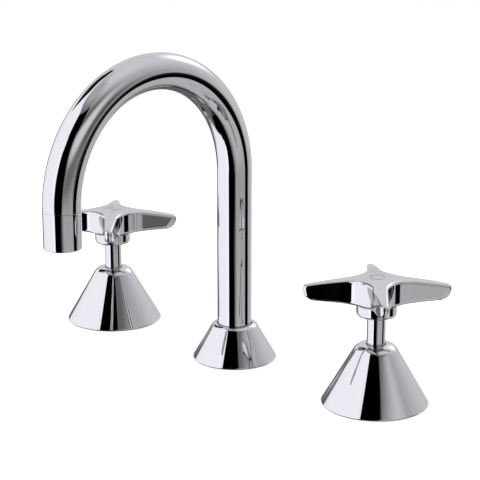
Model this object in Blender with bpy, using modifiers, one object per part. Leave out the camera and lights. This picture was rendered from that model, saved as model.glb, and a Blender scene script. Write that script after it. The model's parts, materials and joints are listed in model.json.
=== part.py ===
"""Widespread bathroom faucet: a gooseneck spout between two cross-handle valves, each piece separate.

Metres, +Z up. The deck is the plane z = 0, the spout points to -Y, the hot valve stands at -X and the
cold valve at +X. The origin is the middle of the set's footprint, on the deck.
"""

import math

import bmesh
import bpy
from mathutils import Matrix, Vector

# Plan of the set
HANDLE_SPREAD = 0.2000
SPOUT_REACH = 0.1214

# Fits
GAP = 0.0003
RING_NIP = 0.0002
CUT_OVERRUN = 0.0020

# Conical flanges
FLANGE_LIP = 0.0007
FLANGE_WALL = 0.0025
FLANGE_ROOF = 0.0024
HANDLE_FLANGE_RADIUS = 0.0277
HANDLE_FLANGE_HEIGHT = 0.0319
HANDLE_FLANGE_SHOULDER = 0.0065
HANDLE_FLANGE_LAND = 0.00082
SPOUT_FLANGE_RADIUS = 0.02315
SPOUT_FLANGE_HEIGHT = 0.0202
SPOUT_FLANGE_SHOULDER = 0.0034
SPOUT_FLANGE_LAND = 0.00008
GASKET_WIDTH = 0.0024
GASKET_HEIGHT = 0.0016

# Valve body
BODY_CLEARANCE = 0.0006
NECK_CLEARANCE = 0.00095
INLET_RADIUS = 0.0083
INLET_DEPTH = 0.0075
SEAT_HOLE_RADIUS = 0.0040
SEAT_WEB = 0.0020
CHAMBER_RADIUS = 0.0092
OUTLET_RADIUS = 0.0028
OUTLET_ROOF = 0.0015
PORT_WIDTH = 0.0040
PORT_HEIGHT = 0.0015

# Ceramic discs and their seal
SEAL_THICKNESS = 0.0012
SEAL_WIDTH = 0.0023
FIXED_DISC_THICKNESS = 0.0020
MOVING_DISC_THICKNESS = 0.0022
DISC_PORT_RADIUS = 0.0016
DISC_RIM = 0.0011

# Headwork housing
HOUSING_RISE = 0.0011
HOUSING_WALL = 0.0019
HEX_HEIGHT = 0.0032
HOUSING_NECK_RADIUS = 0.0064
HOUSING_NECK_HEIGHT = 0.0053
ROOF_CLEARANCE = 0.0005
WINDOW_WIDTH = 0.0050
BODY_RING_SECTION = 0.0014
BODY_RING_DROP = 0.00125
FLANGE_BUSH_HEIGHT = 0.0036

# Spindle and what it carries
SPINDLE_RADIUS = 0.0031
SPINDLE_STEP = 0.00035
SPINDLE_FOOT_CLEARANCE = 0.0007
SPINDLE_FOOT_THICKNESS = 0.0013
TANG_LENGTH = 0.0080
TANG_WIDTH = 0.0024
TANG_DEPTH = 0.0013
SPINDLE_RING_SECTION = 0.0011
SPINDLE_RING_DROP = 0.0028
CLIP_INSET = 0.0004
CLIP_THICKNESS = 0.0006
CLIP_BITE = 0.0004
CLIP_PLAY = 0.00015
CLIP_MOUTH = 0.0030

# Cross handle, its collar and sleeve
SLEEVE_RADIUS = 0.00481
SLEEVE_ENTRY = 0.0016
SLEEVE_SHOW = 0.0151
COLLAR_RADIUS = 0.01045
COLLAR_HEIGHT = 0.0062
COLLAR_ROUND = 0.0021
HUB_THICKNESS = 0.0138
HUB_ROOF = 0.0050
HANDLE_BUSH_RADIUS = 0.0053
GRUB_RADIUS = 0.00105
GRUB_CLEARANCE = 0.00025
GRUB_RECESS = 0.0010
GRUB_SOCKET_RADIUS = 0.0006
GRUB_SOCKET_DEPTH = 0.0012
ARM_REACH = 0.0378
ARM_NOSE = 0.0021
ARM_FILLET = 0.0155
ARM_WAIST = 0.0117
ARM_ANGLE = math.radians(44.5)
ARM_COUNT = 4
CROWN_DROP = 0.0040
CROWN_POWER = 1.8
CROWN_RING_SHARES = (2 / 3, 1 / 3)
TIP_RISE = 0.0018
TIP_TUCK = 0.0042
TIP_KEEL = 0.0042
KEEL_RUN = 0.0040
UNDERSIDE_LAND = 0.0013
UPPER_ROUND = 0.0016
LOWER_ROUND = 0.0018

# Spout tube
TUBE_RADIUS = 0.00955
TUBE_WALL = 0.0015
BEND_HEIGHT = 0.10685

# Spout foot
FOOT_CLEARANCE = 0.0019
FOOT_HEIGHT = 0.0080
FOOT_INLET_DEPTH = 0.0060
FOOT_RING_SECTION = 0.00175
FOOT_RING_RISE = 0.0045
FOOT_RING_PITCH = 0.0044
SPIGOT_LEAD = 0.0041
SPIGOT_WEB = 0.0011
BEARING_THICKNESS = 0.0012
GUIDE_DROP = 0.0014
GUIDE_HEIGHT = 0.0018
SWIVEL_LIMIT = math.radians(60)
STOP_RISE = 0.0032
STOP_RADIUS = 0.0013
STOP_GROOVE_DEPTH = 0.0018

# Aerator
NOZZLE_WALL = 0.0015
NOZZLE_ROUND = 0.0006
NOZZLE_SPIGOT = 0.0030
NOZZLE_SPIGOT_SLACK = 0.0006
NOZZLE_SPIGOT_WALL = 0.00125
NOZZLE_SHELF = 0.0028
INSERT_RECESS = 0.0012
INSERT_HEIGHT = 0.01165
SCREEN_THICKNESS = 0.0005
WASHER_THICKNESS = 0.0016
WASHER_WIDTH = 0.0024
JET_COUNT = 8
JET_RADIUS = 0.0009
JET_RING_RADIUS = 0.0048

# Numbers of facets
FLANGE_STEPS = 32
TURN_STEPS = 20
SLEEVE_STEPS = 20
SPINDLE_STEPS = 16
RING_SIDES = 6
HOLE_STEPS = 8
SHOULDER_STEPS = 4
EDGE_STEPS = 2
BEND_STEPS = 18
TUBE_BEVEL = 10
BORE_BEVEL = 6
NOSE_STEPS = 2
WALL_STEPS = 3
FILLET_STEPS = 3
KEEL_STEPS = 4
HEX_SIDES = 6
MERGE_DISTANCE = 0.00001
SHARP_ANGLE = math.radians(40)



class Cone:
    """A flange's shape: a cone from the deck to a rounded shoulder and a flat ring round its bore."""

    def __init__(self, radius, height, shoulder, bore, land):
        self.radius = radius
        self.height = height
        self.shoulder = shoulder
        self.bore = bore
        self.flat_radius = bore + land
        across = radius - self.flat_radius
        up = height - shoulder - FLANGE_LIP
        self.angle = math.acos(shoulder / math.hypot(across, up)) - math.atan2(up, across)
        self.roof = height - FLANGE_ROOF

    def inside(self, z):
        """Radius of the inner cone at a height."""
        return self.radius - FLANGE_WALL - (z - FLANGE_LIP) * math.tan(self.angle)


# Worked out from the sizes above: the flanges
UNIT_Y = (SPOUT_REACH + TUBE_RADIUS - HANDLE_FLANGE_RADIUS) / 2
HANDLE_CONE = Cone(
    HANDLE_FLANGE_RADIUS, HANDLE_FLANGE_HEIGHT, HANDLE_FLANGE_SHOULDER, SLEEVE_RADIUS + GAP,
    HANDLE_FLANGE_LAND)
SPOUT_CONE = Cone(
    SPOUT_FLANGE_RADIUS, SPOUT_FLANGE_HEIGHT, SPOUT_FLANGE_SHOULDER, TUBE_RADIUS + GAP,
    SPOUT_FLANGE_LAND)

# The valve, from the inlet up and from the flange's roof down
CHAMBER_FLOOR = INLET_DEPTH + SEAT_WEB
OUTLET_TOP = CHAMBER_FLOOR + PORT_HEIGHT
BODY_FOOT_HEIGHT = OUTLET_TOP + OUTLET_ROOF
BODY_FOOT_RADIUS = HANDLE_CONE.inside(BODY_FOOT_HEIGHT) - BODY_CLEARANCE
OUTLET_OFFSET = (INLET_RADIUS + BODY_FOOT_RADIUS) / 2
NECK_TOP = HANDLE_CONE.roof - ROOF_CLEARANCE
HEX_TOP = NECK_TOP - HOUSING_NECK_HEIGHT
HEX_BOTTOM = HEX_TOP - HEX_HEIGHT
HEX_CORNER = HANDLE_CONE.inside(HEX_TOP) - NECK_CLEARANCE
BODY_HEIGHT = HEX_BOTTOM - GAP
BODY_NECK_RADIUS = HANDLE_CONE.inside(BODY_HEIGHT) - NECK_CLEARANCE
SEAL_BOTTOM = CHAMBER_FLOOR + GAP
FIXED_DISC_BOTTOM = SEAL_BOTTOM + SEAL_THICKNESS + GAP
MOVING_DISC_BOTTOM = FIXED_DISC_BOTTOM + FIXED_DISC_THICKNESS + GAP
MOVING_DISC_TOP = MOVING_DISC_BOTTOM + MOVING_DISC_THICKNESS
SPINDLE_FOOT_BOTTOM = MOVING_DISC_TOP + GAP
SPINDLE_FOOT_TOP = SPINDLE_FOOT_BOTTOM + SPINDLE_FOOT_THICKNESS
CAVITY_TOP = SPINDLE_FOOT_TOP + GAP
HOUSING_RADIUS = CHAMBER_RADIUS - GAP
CAVITY_RADIUS = HOUSING_RADIUS - HOUSING_WALL
DISC_RADIUS = CAVITY_RADIUS - GAP
DISC_PORT_OFFSET = DISC_RADIUS - DISC_RIM - DISC_PORT_RADIUS
SPINDLE_BORE = SPINDLE_RADIUS + GAP
SPINDLE_TIP_RADIUS = SPINDLE_RADIUS - SPINDLE_STEP
SPINDLE_FOOT_RADIUS = CAVITY_RADIUS - SPINDLE_FOOT_CLEARANCE
CLIP_BOTTOM = NECK_TOP + GAP
CLIP_TOP = CLIP_BOTTOM + CLIP_THICKNESS
CLIP_RADIUS = SLEEVE_RADIUS - CLIP_INSET
SLEEVE_BOTTOM = CLIP_TOP + GAP

# The handle, from the flange up
COLLAR_BOTTOM = HANDLE_FLANGE_HEIGHT + SLEEVE_SHOW
COLLAR_TOP = COLLAR_BOTTOM + COLLAR_HEIGHT
SLEEVE_TOP = COLLAR_BOTTOM + SLEEVE_ENTRY
SLEEVE_SEAT = SLEEVE_TOP + GAP
GRUB_Z = (SLEEVE_SEAT + COLLAR_TOP) / 2
HUB_UNDERSIDE = COLLAR_TOP + GAP
HUB_BORE = HANDLE_BUSH_RADIUS + GAP
CROWN_TOP = HUB_UNDERSIDE + HUB_THICKNESS
HUB_BORE_TOP = CROWN_TOP - HUB_ROOF
UNDERSIDE_FLAT = COLLAR_RADIUS + UNDERSIDE_LAND

# The spout, from the foot up
BEND_RADIUS = SPOUT_REACH / 2
TUBE_BORE = TUBE_RADIUS - TUBE_WALL
TUBE_BOTTOM = FOOT_HEIGHT + BEARING_THICKNESS + 2 * GAP
FOOT_RADIUS = SPOUT_CONE.inside(FOOT_HEIGHT) - FOOT_CLEARANCE
SPIGOT_RADIUS = TUBE_BORE - GAP
FOOT_GROOVE_RADIUS = TUBE_BORE - FOOT_RING_SECTION - 2 * RING_NIP
SPIGOT_BORE = FOOT_GROOVE_RADIUS - SPIGOT_WEB
STOP_HEIGHT = TUBE_BOTTOM + STOP_RISE
FOOT_RING_LOW = STOP_HEIGHT + FOOT_RING_RISE
FOOT_RING_HIGH = FOOT_RING_LOW + FOOT_RING_PITCH
SPIGOT_HEIGHT = FOOT_RING_HIGH + SPIGOT_LEAD
GUIDE_TOP = SPOUT_CONE.roof - GUIDE_DROP
GUIDE_BOTTOM = GUIDE_TOP - GUIDE_HEIGHT

# The nozzle, from its seam down
NOZZLE_TOP = BEND_HEIGHT - GAP
NOZZLE_BORE = TUBE_RADIUS - NOZZLE_WALL
NOZZLE_SPIGOT_RADIUS = TUBE_BORE - NOZZLE_SPIGOT_SLACK
NOZZLE_NECK_RADIUS = NOZZLE_SPIGOT_RADIUS - NOZZLE_SPIGOT_WALL
SHELF_Z = NOZZLE_TOP - NOZZLE_SHELF
WASHER_BOTTOM = SHELF_Z - GAP - WASHER_THICKNESS
SCREEN_BOTTOM = WASHER_BOTTOM - GAP - SCREEN_THICKNESS
INSERT_BOTTOM = SCREEN_BOTTOM - GAP - INSERT_HEIGHT
NOZZLE_BOTTOM = INSERT_BOTTOM - INSERT_RECESS


def clear_scene():
    for thing in list(bpy.data.objects):
        bpy.data.objects.remove(thing, do_unlink=True)


def new_collection(name):
    collection = bpy.data.collections.new(name)
    bpy.context.scene.collection.children.link(collection)
    return collection


def make_finish(name, colour, roughness, metallic):
    finish = bpy.data.materials.new(name)
    finish.use_nodes = True
    shader = finish.node_tree.nodes["Principled BSDF"]
    shader.inputs["Base Color"].default_value = (*colour, 1)
    shader.inputs["Roughness"].default_value = roughness
    shader.inputs["Metallic"].default_value = metallic
    return finish


FINISHES = {
    "chrome": ((0.80, 0.81, 0.83), 0.05, 1),
    "brass": ((0.78, 0.57, 0.27), 0.30, 1),
    "steel": ((0.62, 0.62, 0.63), 0.25, 1),
    "rubber": ((0.03, 0.03, 0.03), 0.70, 0),
    "nylon": ((0.82, 0.80, 0.74), 0.45, 0),
    "ceramic": ((0.90, 0.89, 0.86), 0.20, 0),
}


class Shop:
    """Holds the two collections and gives every piece its own finish."""

    def __init__(self):
        self.parts = new_collection("widespread_faucet")
        self.cutters = new_collection("cutters")

    def piece(self, name, mesh, finish, place):
        """A sub-part: an object of its own, with its origin at the axis it stands on."""
        thing = bpy.data.objects.new(name, mesh)
        thing.location = place
        colour, roughness, metallic = FINISHES[finish]
        mesh.materials.append(make_finish(name + "_" + finish, colour, roughness, metallic))
        self.parts.objects.link(thing)
        return thing

    def cutter(self, name, mesh, place):
        thing = bpy.data.objects.new(name, mesh)
        thing.location = place
        thing.hide_render = True
        thing.display_type = "WIRE"
        self.cutters.objects.link(thing)
        return thing


def combine(target, other, operation):
    step = target.modifiers.new(operation.lower() + "_" + other.name, "BOOLEAN")
    step.operation = operation
    step.solver = "EXACT"
    step.object = other


def outline_mesh(name, points, closed):
    """A mesh of edges only, from (radius, height) points in the XZ plane."""
    mesh = bpy.data.meshes.new(name)
    edges = [(i, i + 1) for i in range(len(points) - 1)]
    if closed:
        edges.append((len(points) - 1, 0))
    mesh.from_pydata([(r, 0, z) for r, z in points], edges, [])
    return mesh


def add_screw(thing, steps):
    turn = thing.modifiers.new("turn", "SCREW")
    turn.axis = "Z"
    turn.angle = math.tau
    turn.steps = steps
    turn.render_steps = steps
    turn.use_merge_vertices = True
    turn.merge_threshold = MERGE_DISTANCE
    turn.use_smooth_shade = True


def on_axis(points):
    return points[0][0] == 0 and points[-1][0] == 0


def turned(shop, name, points, steps, finish, place):
    """A turned piece. The points run down the outer side and back up the bore."""
    thing = shop.piece(name, outline_mesh(name, points, not on_axis(points)), finish, place)
    add_screw(thing, steps)
    return thing


def turned_cutter(shop, name, points, steps, place):
    thing = shop.cutter(name, outline_mesh(name, points, not on_axis(points)), place)
    add_screw(thing, steps)
    return thing


def block_mesh(name, low, high):
    """A box from its lowest to its highest corner."""
    mesh = bpy.data.meshes.new(name)
    shape = bmesh.new()
    bmesh.ops.create_cube(shape, size=1)
    size = Vector(high) - Vector(low)
    middle = (Vector(high) + Vector(low)) / 2
    bmesh.ops.transform(
        shape, matrix=Matrix.Translation(middle) @ Matrix.Diagonal((*size, 1)), verts=shape.verts)
    shape.to_mesh(mesh)
    shape.free()
    return mesh


def rod_mesh(name, starts, direction, length, radius, sides):
    """Round rods of one size, each from a start point along one direction."""
    mesh = bpy.data.meshes.new(name)
    shape = bmesh.new()
    turn = Vector((0, 0, 1)).rotation_difference(Vector(direction)).to_matrix().to_4x4()
    turn = turn @ Matrix.Rotation(math.pi / sides / 2, 4, "Z")
    for start in starts:
        middle = Vector(start) + Vector(direction).normalized() * length / 2
        bmesh.ops.create_cone(
            shape, cap_ends=True, segments=sides, radius1=radius, radius2=radius, depth=length,
            matrix=Matrix.Translation(middle) @ turn)
    shape.to_mesh(mesh)
    shape.free()
    return mesh


def arc(centre_r, centre_z, radius, start, end, steps):
    """Points of an arc in the (radius, height) plane, with both ends."""
    points = []
    for i in range(steps + 1):
        angle = start + (end - start) * i / steps
        points.append((centre_r + radius * math.cos(angle), centre_z + radius * math.sin(angle)))
    return points


def ring_points(centre_r, centre_z, section, sides):
    """The round section of a rubber ring, run from its top down its outer side."""
    points = arc(centre_r, centre_z, section / 2, math.pi / 2, -math.pi * 3 / 2, sides)
    return points[:-1]


def cone_flange(shop, name, place, cone):
    """A hollow cone with a rounded shoulder, which hides the works that stand on the deck."""
    points = [(cone.bore, cone.height)]
    points += arc(
        cone.flat_radius, cone.height - cone.shoulder, cone.shoulder, math.pi / 2, cone.angle,
        SHOULDER_STEPS)
    points += [
        (cone.radius, FLANGE_LIP),
        (cone.radius - FLANGE_LIP, 0),
        (cone.inside(0), 0),
        (cone.inside(cone.roof), cone.roof),
        (cone.bore, cone.roof),
    ]
    return turned(shop, name, points, FLANGE_STEPS, "chrome", place)


def gasket(shop, name, place, cone):
    """The flat ring between the flange and the deck."""
    outer = cone.inside(GASKET_HEIGHT) - GAP
    inner = outer - GASKET_WIDTH
    points = [(inner, GASKET_HEIGHT), (outer, GASKET_HEIGHT), (outer, 0), (inner, 0)]
    return turned(shop, name, points, FLANGE_STEPS, "rubber", place)


def valve_body(shop, name, place, side):
    """The brass foot with its inlet socket, seat, chamber and outlet passage."""
    points = [
        (CHAMBER_RADIUS, BODY_HEIGHT),
        (BODY_NECK_RADIUS, BODY_HEIGHT),
        (BODY_NECK_RADIUS, BODY_FOOT_HEIGHT),
        (BODY_FOOT_RADIUS, BODY_FOOT_HEIGHT),
        (BODY_FOOT_RADIUS, 0),
        (INLET_RADIUS, 0),
        (INLET_RADIUS, INLET_DEPTH),
        (SEAT_HOLE_RADIUS, INLET_DEPTH),
        (SEAT_HOLE_RADIUS, CHAMBER_FLOOR),
        (CHAMBER_RADIUS, CHAMBER_FLOOR),
    ]
    body = turned(shop, name, points, TURN_STEPS, "brass", place)
    outlet = rod_mesh(
        name + "_outlet", [(-side * OUTLET_OFFSET, 0, -CUT_OVERRUN)], (0, 0, 1),
        OUTLET_TOP + CUT_OVERRUN, OUTLET_RADIUS, HOLE_STEPS)
    combine(body, shop.cutter(name + "_outlet", outlet, place), "DIFFERENCE")
    near = CHAMBER_RADIUS - CUT_OVERRUN
    ends = sorted((-side * near, -side * OUTLET_OFFSET))
    port = block_mesh(
        name + "_port", (ends[0], -PORT_WIDTH / 2, CHAMBER_FLOOR), (ends[1], PORT_WIDTH / 2, OUTLET_TOP))
    combine(body, shop.cutter(name + "_port", port, place), "DIFFERENCE")
    return body


def seat_seal(shop, name, place):
    """The flat rubber ring under the rim of the fixed disc."""
    inner = DISC_RADIUS - SEAL_WIDTH
    top = SEAL_BOTTOM + SEAL_THICKNESS
    points = [(inner, top), (DISC_RADIUS, top), (DISC_RADIUS, SEAL_BOTTOM), (inner, SEAL_BOTTOM)]
    return turned(shop, name, points, TURN_STEPS, "rubber", place)


def fixed_disc(shop, name, place):
    """The lower ceramic disc, with two ports on the X axis."""
    top = FIXED_DISC_BOTTOM + FIXED_DISC_THICKNESS
    disc = turned(
        shop, name, [(0, top), (DISC_RADIUS, top), (DISC_RADIUS, FIXED_DISC_BOTTOM), (0, FIXED_DISC_BOTTOM)],
        TURN_STEPS, "ceramic", place)
    starts = [(sign * DISC_PORT_OFFSET, 0, FIXED_DISC_BOTTOM - CUT_OVERRUN) for sign in (-1, 1)]
    ports = rod_mesh(
        name + "_ports", starts, (0, 0, 1), FIXED_DISC_THICKNESS + 2 * CUT_OVERRUN, DISC_PORT_RADIUS,
        HOLE_STEPS)
    combine(disc, shop.cutter(name + "_ports", ports, place), "DIFFERENCE")
    return disc


def moving_disc(shop, name, place):
    """The upper ceramic disc: a slot for the spindle's tang and two side notches, shut at rest."""
    disc = turned(
        shop, name,
        [(0, MOVING_DISC_TOP), (DISC_RADIUS, MOVING_DISC_TOP), (DISC_RADIUS, MOVING_DISC_BOTTOM),
         (0, MOVING_DISC_BOTTOM)],
        TURN_STEPS, "ceramic", place)
    half_length = TANG_LENGTH / 2 + GAP
    half_width = TANG_WIDTH / 2 + GAP
    slot = block_mesh(
        name + "_slot", (-half_length, -half_width, MOVING_DISC_TOP - TANG_DEPTH),
        (half_length, half_width, MOVING_DISC_TOP + CUT_OVERRUN))
    combine(disc, shop.cutter(name + "_slot", slot, place), "DIFFERENCE")
    inner = DISC_PORT_OFFSET - DISC_PORT_RADIUS
    for sign, label in ((-1, "front"), (1, "rear")):
        ends = sorted((sign * inner, sign * (DISC_RADIUS + CUT_OVERRUN)))
        notch = block_mesh(
            name + "_" + label + "_notch", (-DISC_PORT_RADIUS, ends[0], MOVING_DISC_BOTTOM - CUT_OVERRUN),
            (DISC_PORT_RADIUS, ends[1], MOVING_DISC_TOP + CUT_OVERRUN))
        combine(disc, shop.cutter(name + "_" + label + "_notch", notch, place), "DIFFERENCE")
    return disc


def headwork_housing(shop, name, place):
    """The brass cartridge shell: hexagon, neck, ring groove, disc cavity and two side windows."""
    hexagon = rod_mesh(name, [(0, 0, HEX_BOTTOM)], (0, 0, 1), HEX_HEIGHT, HEX_CORNER, HEX_SIDES)
    housing = shop.piece(name, hexagon, "brass", place)
    bottom = CHAMBER_FLOOR + HOUSING_RISE
    groove_z = BODY_HEIGHT - BODY_RING_DROP
    groove_half = BODY_RING_SECTION / 2 + RING_NIP
    groove_r = CHAMBER_RADIUS - BODY_RING_SECTION - 2 * RING_NIP
    core = turned_cutter(
        shop, name + "_core",
        [(0, NECK_TOP), (HOUSING_NECK_RADIUS, NECK_TOP), (HOUSING_NECK_RADIUS, HEX_TOP - GAP),
         (HOUSING_RADIUS, HEX_TOP - GAP), (HOUSING_RADIUS, groove_z + groove_half),
         (groove_r, groove_z + groove_half), (groove_r, groove_z - groove_half),
         (HOUSING_RADIUS, groove_z - groove_half), (HOUSING_RADIUS, bottom), (0, bottom)],
        TURN_STEPS, place)
    combine(housing, core, "UNION")
    bore = turned_cutter(
        shop, name + "_bore",
        [(0, NECK_TOP + CUT_OVERRUN), (SPINDLE_BORE, NECK_TOP + CUT_OVERRUN), (SPINDLE_BORE, CAVITY_TOP),
         (CAVITY_RADIUS, CAVITY_TOP), (CAVITY_RADIUS, bottom - CUT_OVERRUN), (0, bottom - CUT_OVERRUN)],
        TURN_STEPS, place)
    combine(housing, bore, "DIFFERENCE")
    reach = HOUSING_RADIUS + CUT_OVERRUN
    windows = block_mesh(
        name + "_windows", (-reach, -WINDOW_WIDTH / 2, MOVING_DISC_BOTTOM),
        (reach, WINDOW_WIDTH / 2, MOVING_DISC_TOP))
    combine(housing, shop.cutter(name + "_windows", windows, place), "DIFFERENCE")
    return housing


def spindle(shop, name, place):
    """The brass spindle: drive tang, foot, ring groove, clip groove and thinner tip."""
    ring_z = NECK_TOP - SPINDLE_RING_DROP
    ring_half = SPINDLE_RING_SECTION / 2 + RING_NIP
    ring_floor = SPINDLE_BORE - SPINDLE_RING_SECTION - 2 * RING_NIP
    clip_floor = SPINDLE_RADIUS - CLIP_BITE - GAP
    tip_top = HUB_BORE_TOP - 2 * GAP
    points = [
        (0, tip_top),
        (SPINDLE_TIP_RADIUS, tip_top),
        (SPINDLE_TIP_RADIUS, SLEEVE_SEAT),
        (SPINDLE_RADIUS, SLEEVE_SEAT),
        (SPINDLE_RADIUS, CLIP_TOP + CLIP_PLAY),
        (clip_floor, CLIP_TOP + CLIP_PLAY),
        (clip_floor, CLIP_BOTTOM - CLIP_PLAY),
        (SPINDLE_RADIUS, CLIP_BOTTOM - CLIP_PLAY),
        (SPINDLE_RADIUS, ring_z + ring_half),
        (ring_floor, ring_z + ring_half),
        (ring_floor, ring_z - ring_half),
        (SPINDLE_RADIUS, ring_z - ring_half),
        (SPINDLE_RADIUS, SPINDLE_FOOT_TOP),
        (SPINDLE_FOOT_RADIUS, SPINDLE_FOOT_TOP),
        (SPINDLE_FOOT_RADIUS, SPINDLE_FOOT_BOTTOM),
        (0, SPINDLE_FOOT_BOTTOM),
    ]
    shaft = turned(shop, name, points, SPINDLE_STEPS, "brass", place)
    tang = block_mesh(
        name + "_tang", (-TANG_LENGTH / 2, -TANG_WIDTH / 2, MOVING_DISC_TOP - TANG_DEPTH + GAP),
        (TANG_LENGTH / 2, TANG_WIDTH / 2, (SPINDLE_FOOT_BOTTOM + SPINDLE_FOOT_TOP) / 2))
    combine(shaft, shop.cutter(name + "_tang", tang, place), "UNION")
    return shaft


def circlip(shop, name, place):
    """The open spring ring that keeps the spindle in its housing."""
    inner = SPINDLE_RADIUS - CLIP_BITE
    points = [(inner, CLIP_TOP), (CLIP_RADIUS, CLIP_TOP), (CLIP_RADIUS, CLIP_BOTTOM), (inner, CLIP_BOTTOM)]
    ring = turned(shop, name, points, SPINDLE_STEPS, "steel", place)
    mouth = block_mesh(
        name + "_mouth", (-CLIP_MOUTH / 2, 0, CLIP_BOTTOM - GAP),
        (CLIP_MOUTH / 2, CLIP_RADIUS + CUT_OVERRUN, CLIP_TOP + GAP))
    combine(ring, shop.cutter(name + "_mouth", mouth, place), "DIFFERENCE")
    return ring


def flange_bush(shop, name, place):
    """The nylon cone that centres the flange on the housing's neck."""
    low = HEX_TOP + GAP
    high = low + FLANGE_BUSH_HEIGHT
    inner = HOUSING_NECK_RADIUS + GAP
    slope_gap = GAP / math.cos(HANDLE_CONE.angle)
    points = [
        (inner, high),
        (HANDLE_CONE.inside(high) - slope_gap, high),
        (HANDLE_CONE.inside(low) - slope_gap, low),
        (inner, low),
    ]
    return turned(shop, name, points, FLANGE_STEPS, "nylon", place)


def stem_sleeve(shop, name, place):
    points = [
        (SPINDLE_BORE, SLEEVE_TOP),
        (SLEEVE_RADIUS, SLEEVE_TOP),
        (SLEEVE_RADIUS, SLEEVE_BOTTOM),
        (SPINDLE_BORE, SLEEVE_BOTTOM),
    ]
    return turned(shop, name, points, SLEEVE_STEPS, "chrome", place)


def grub_hole(shop, name, place):
    """The cross hole for the grub screw, on the side away from the user."""
    start = SPINDLE_TIP_RADIUS
    hole = rod_mesh(
        name, [(0, start, GRUB_Z)], (0, 1, 0), COLLAR_RADIUS + CUT_OVERRUN - start,
        GRUB_RADIUS + GRUB_CLEARANCE, HOLE_STEPS)
    return shop.cutter(name, hole, place)


def hub_collar(shop, name, place):
    """The chrome ring under the handle, bored for the sleeve and the bush."""
    counterbore = SLEEVE_RADIUS + GAP
    corner_r = COLLAR_RADIUS - COLLAR_ROUND
    corner_z = COLLAR_BOTTOM + COLLAR_ROUND
    points = [(HUB_BORE, COLLAR_TOP), (COLLAR_RADIUS, COLLAR_TOP)]
    points += arc(corner_r, corner_z, COLLAR_ROUND, 0, -math.pi / 2, EDGE_STEPS)
    points += [(counterbore, COLLAR_BOTTOM), (counterbore, SLEEVE_SEAT), (HUB_BORE, SLEEVE_SEAT)]
    collar = turned(shop, name, points, TURN_STEPS, "chrome", place)
    combine(collar, grub_hole(shop, name + "_hole", place), "DIFFERENCE")
    return collar


def handle_bush(shop, name, place):
    """The nylon bush between the spindle's tip and the handle's bore."""
    inner = SPINDLE_TIP_RADIUS + GAP
    low = SLEEVE_SEAT + GAP
    high = HUB_BORE_TOP - GAP
    points = [(inner, high), (HANDLE_BUSH_RADIUS, high), (HANDLE_BUSH_RADIUS, low), (inner, low)]
    bush = turned(shop, name, points, SPINDLE_STEPS, "nylon", place)
    combine(bush, grub_hole(shop, name + "_hole", place), "DIFFERENCE")
    return bush


def socket_screw(shop, name, place, start, end, height, radius):
    """A headless screw that lies along +Y, with a hexagon socket in its outer end."""
    shank = rod_mesh(name, [(0, start, height)], (0, 1, 0), end - start, radius, HOLE_STEPS)
    screw = shop.piece(name, shank, "steel", place)
    socket = rod_mesh(
        name + "_socket", [(0, end - GRUB_SOCKET_DEPTH, height)], (0, 1, 0),
        GRUB_SOCKET_DEPTH + CUT_OVERRUN, GRUB_SOCKET_RADIUS, HEX_SIDES)
    combine(screw, shop.cutter(name + "_socket", socket, place), "DIFFERENCE")
    return screw


def crown_top(radius):
    """Height of the handle's crowned upper face at a distance from its axis."""
    return CROWN_TOP - CROWN_DROP * (radius / ARM_REACH) ** CROWN_POWER


def underside(radius):
    """Height of the handle's lower face: flat over the collar, then rising."""
    run = max(0, radius - UNDERSIDE_FLAT) / (ARM_REACH - UNDERSIDE_FLAT)
    return HUB_UNDERSIDE + TIP_RISE * math.sin(run * math.pi / 2)


def cross_outline(inset, tuck=0):
    """Plan of the four arms: round noses, straight sides, hollow corners. An inset draws it in all round,
    a tuck draws the arms' ends back between the same sides."""
    corner = (ARM_WAIST + ARM_FILLET) / math.sqrt(2)
    across = Vector((corner + ARM_NOSE - ARM_REACH, corner))
    side_angle = math.atan2(across.y, across.x) - math.acos((ARM_NOSE + ARM_FILLET) / across.length)
    taper = math.cos(side_angle)
    back = tuck / (1 - taper)
    nose = arc(
        ARM_REACH - ARM_NOSE - back, 0, ARM_NOSE + back * taper - inset, 0, side_angle, NOSE_STEPS)
    hollow = arc(
        corner, corner, ARM_FILLET + inset, side_angle + math.pi, math.pi * 5 / 4, FILLET_STEPS)
    half = list(nose)
    for i in range(1, WALL_STEPS):
        share = i / WALL_STEPS
        half.append((
            nose[-1][0] + (hollow[0][0] - nose[-1][0]) * share,
            nose[-1][1] + (hollow[0][1] - nose[-1][1]) * share))
    half += hollow
    quarter = half + [(y, x) for x, y in reversed(half[1:-1])]
    points = []
    for turn in range(ARM_COUNT):
        spin = Matrix.Rotation(ARM_ANGLE + turn * math.tau / ARM_COUNT, 2)
        points += [spin @ Vector(p) for p in quarter]
    return points


def lower_ring(angle):
    """A ring of the lower round, from the underside up to the side. At the arms' ends the round grows
    into a keel like a boat's."""
    inward = 1 - math.sin(angle)
    upward = 1 - math.cos(angle)
    end = ARM_REACH - ARM_NOSE - TIP_TUCK * inward
    ring = []
    for p in cross_outline(LOWER_ROUND * inward, TIP_TUCK * inward):
        far = min(1, max(0, (end - p.length) / KEEL_RUN))
        keel = TIP_KEEL * (1 - far * far * (3 - 2 * far))
        ring.append((p.x, p.y, underside(p.length) + upward * (LOWER_ROUND + keel)))
    return ring


def bridge(shape, lower, upper):
    count = len(lower)
    for i in range(count):
        j = (i + 1) % count
        shape.faces.new((lower[i], lower[j], upper[j], upper[i]))


def cap(shape, ring, centre, upward):
    middle = shape.verts.new(centre)
    count = len(ring)
    for i in range(count):
        j = (i + 1) % count
        corners = (ring[i], ring[j], middle)
        shape.faces.new(corners if upward else tuple(reversed(corners)))


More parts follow.
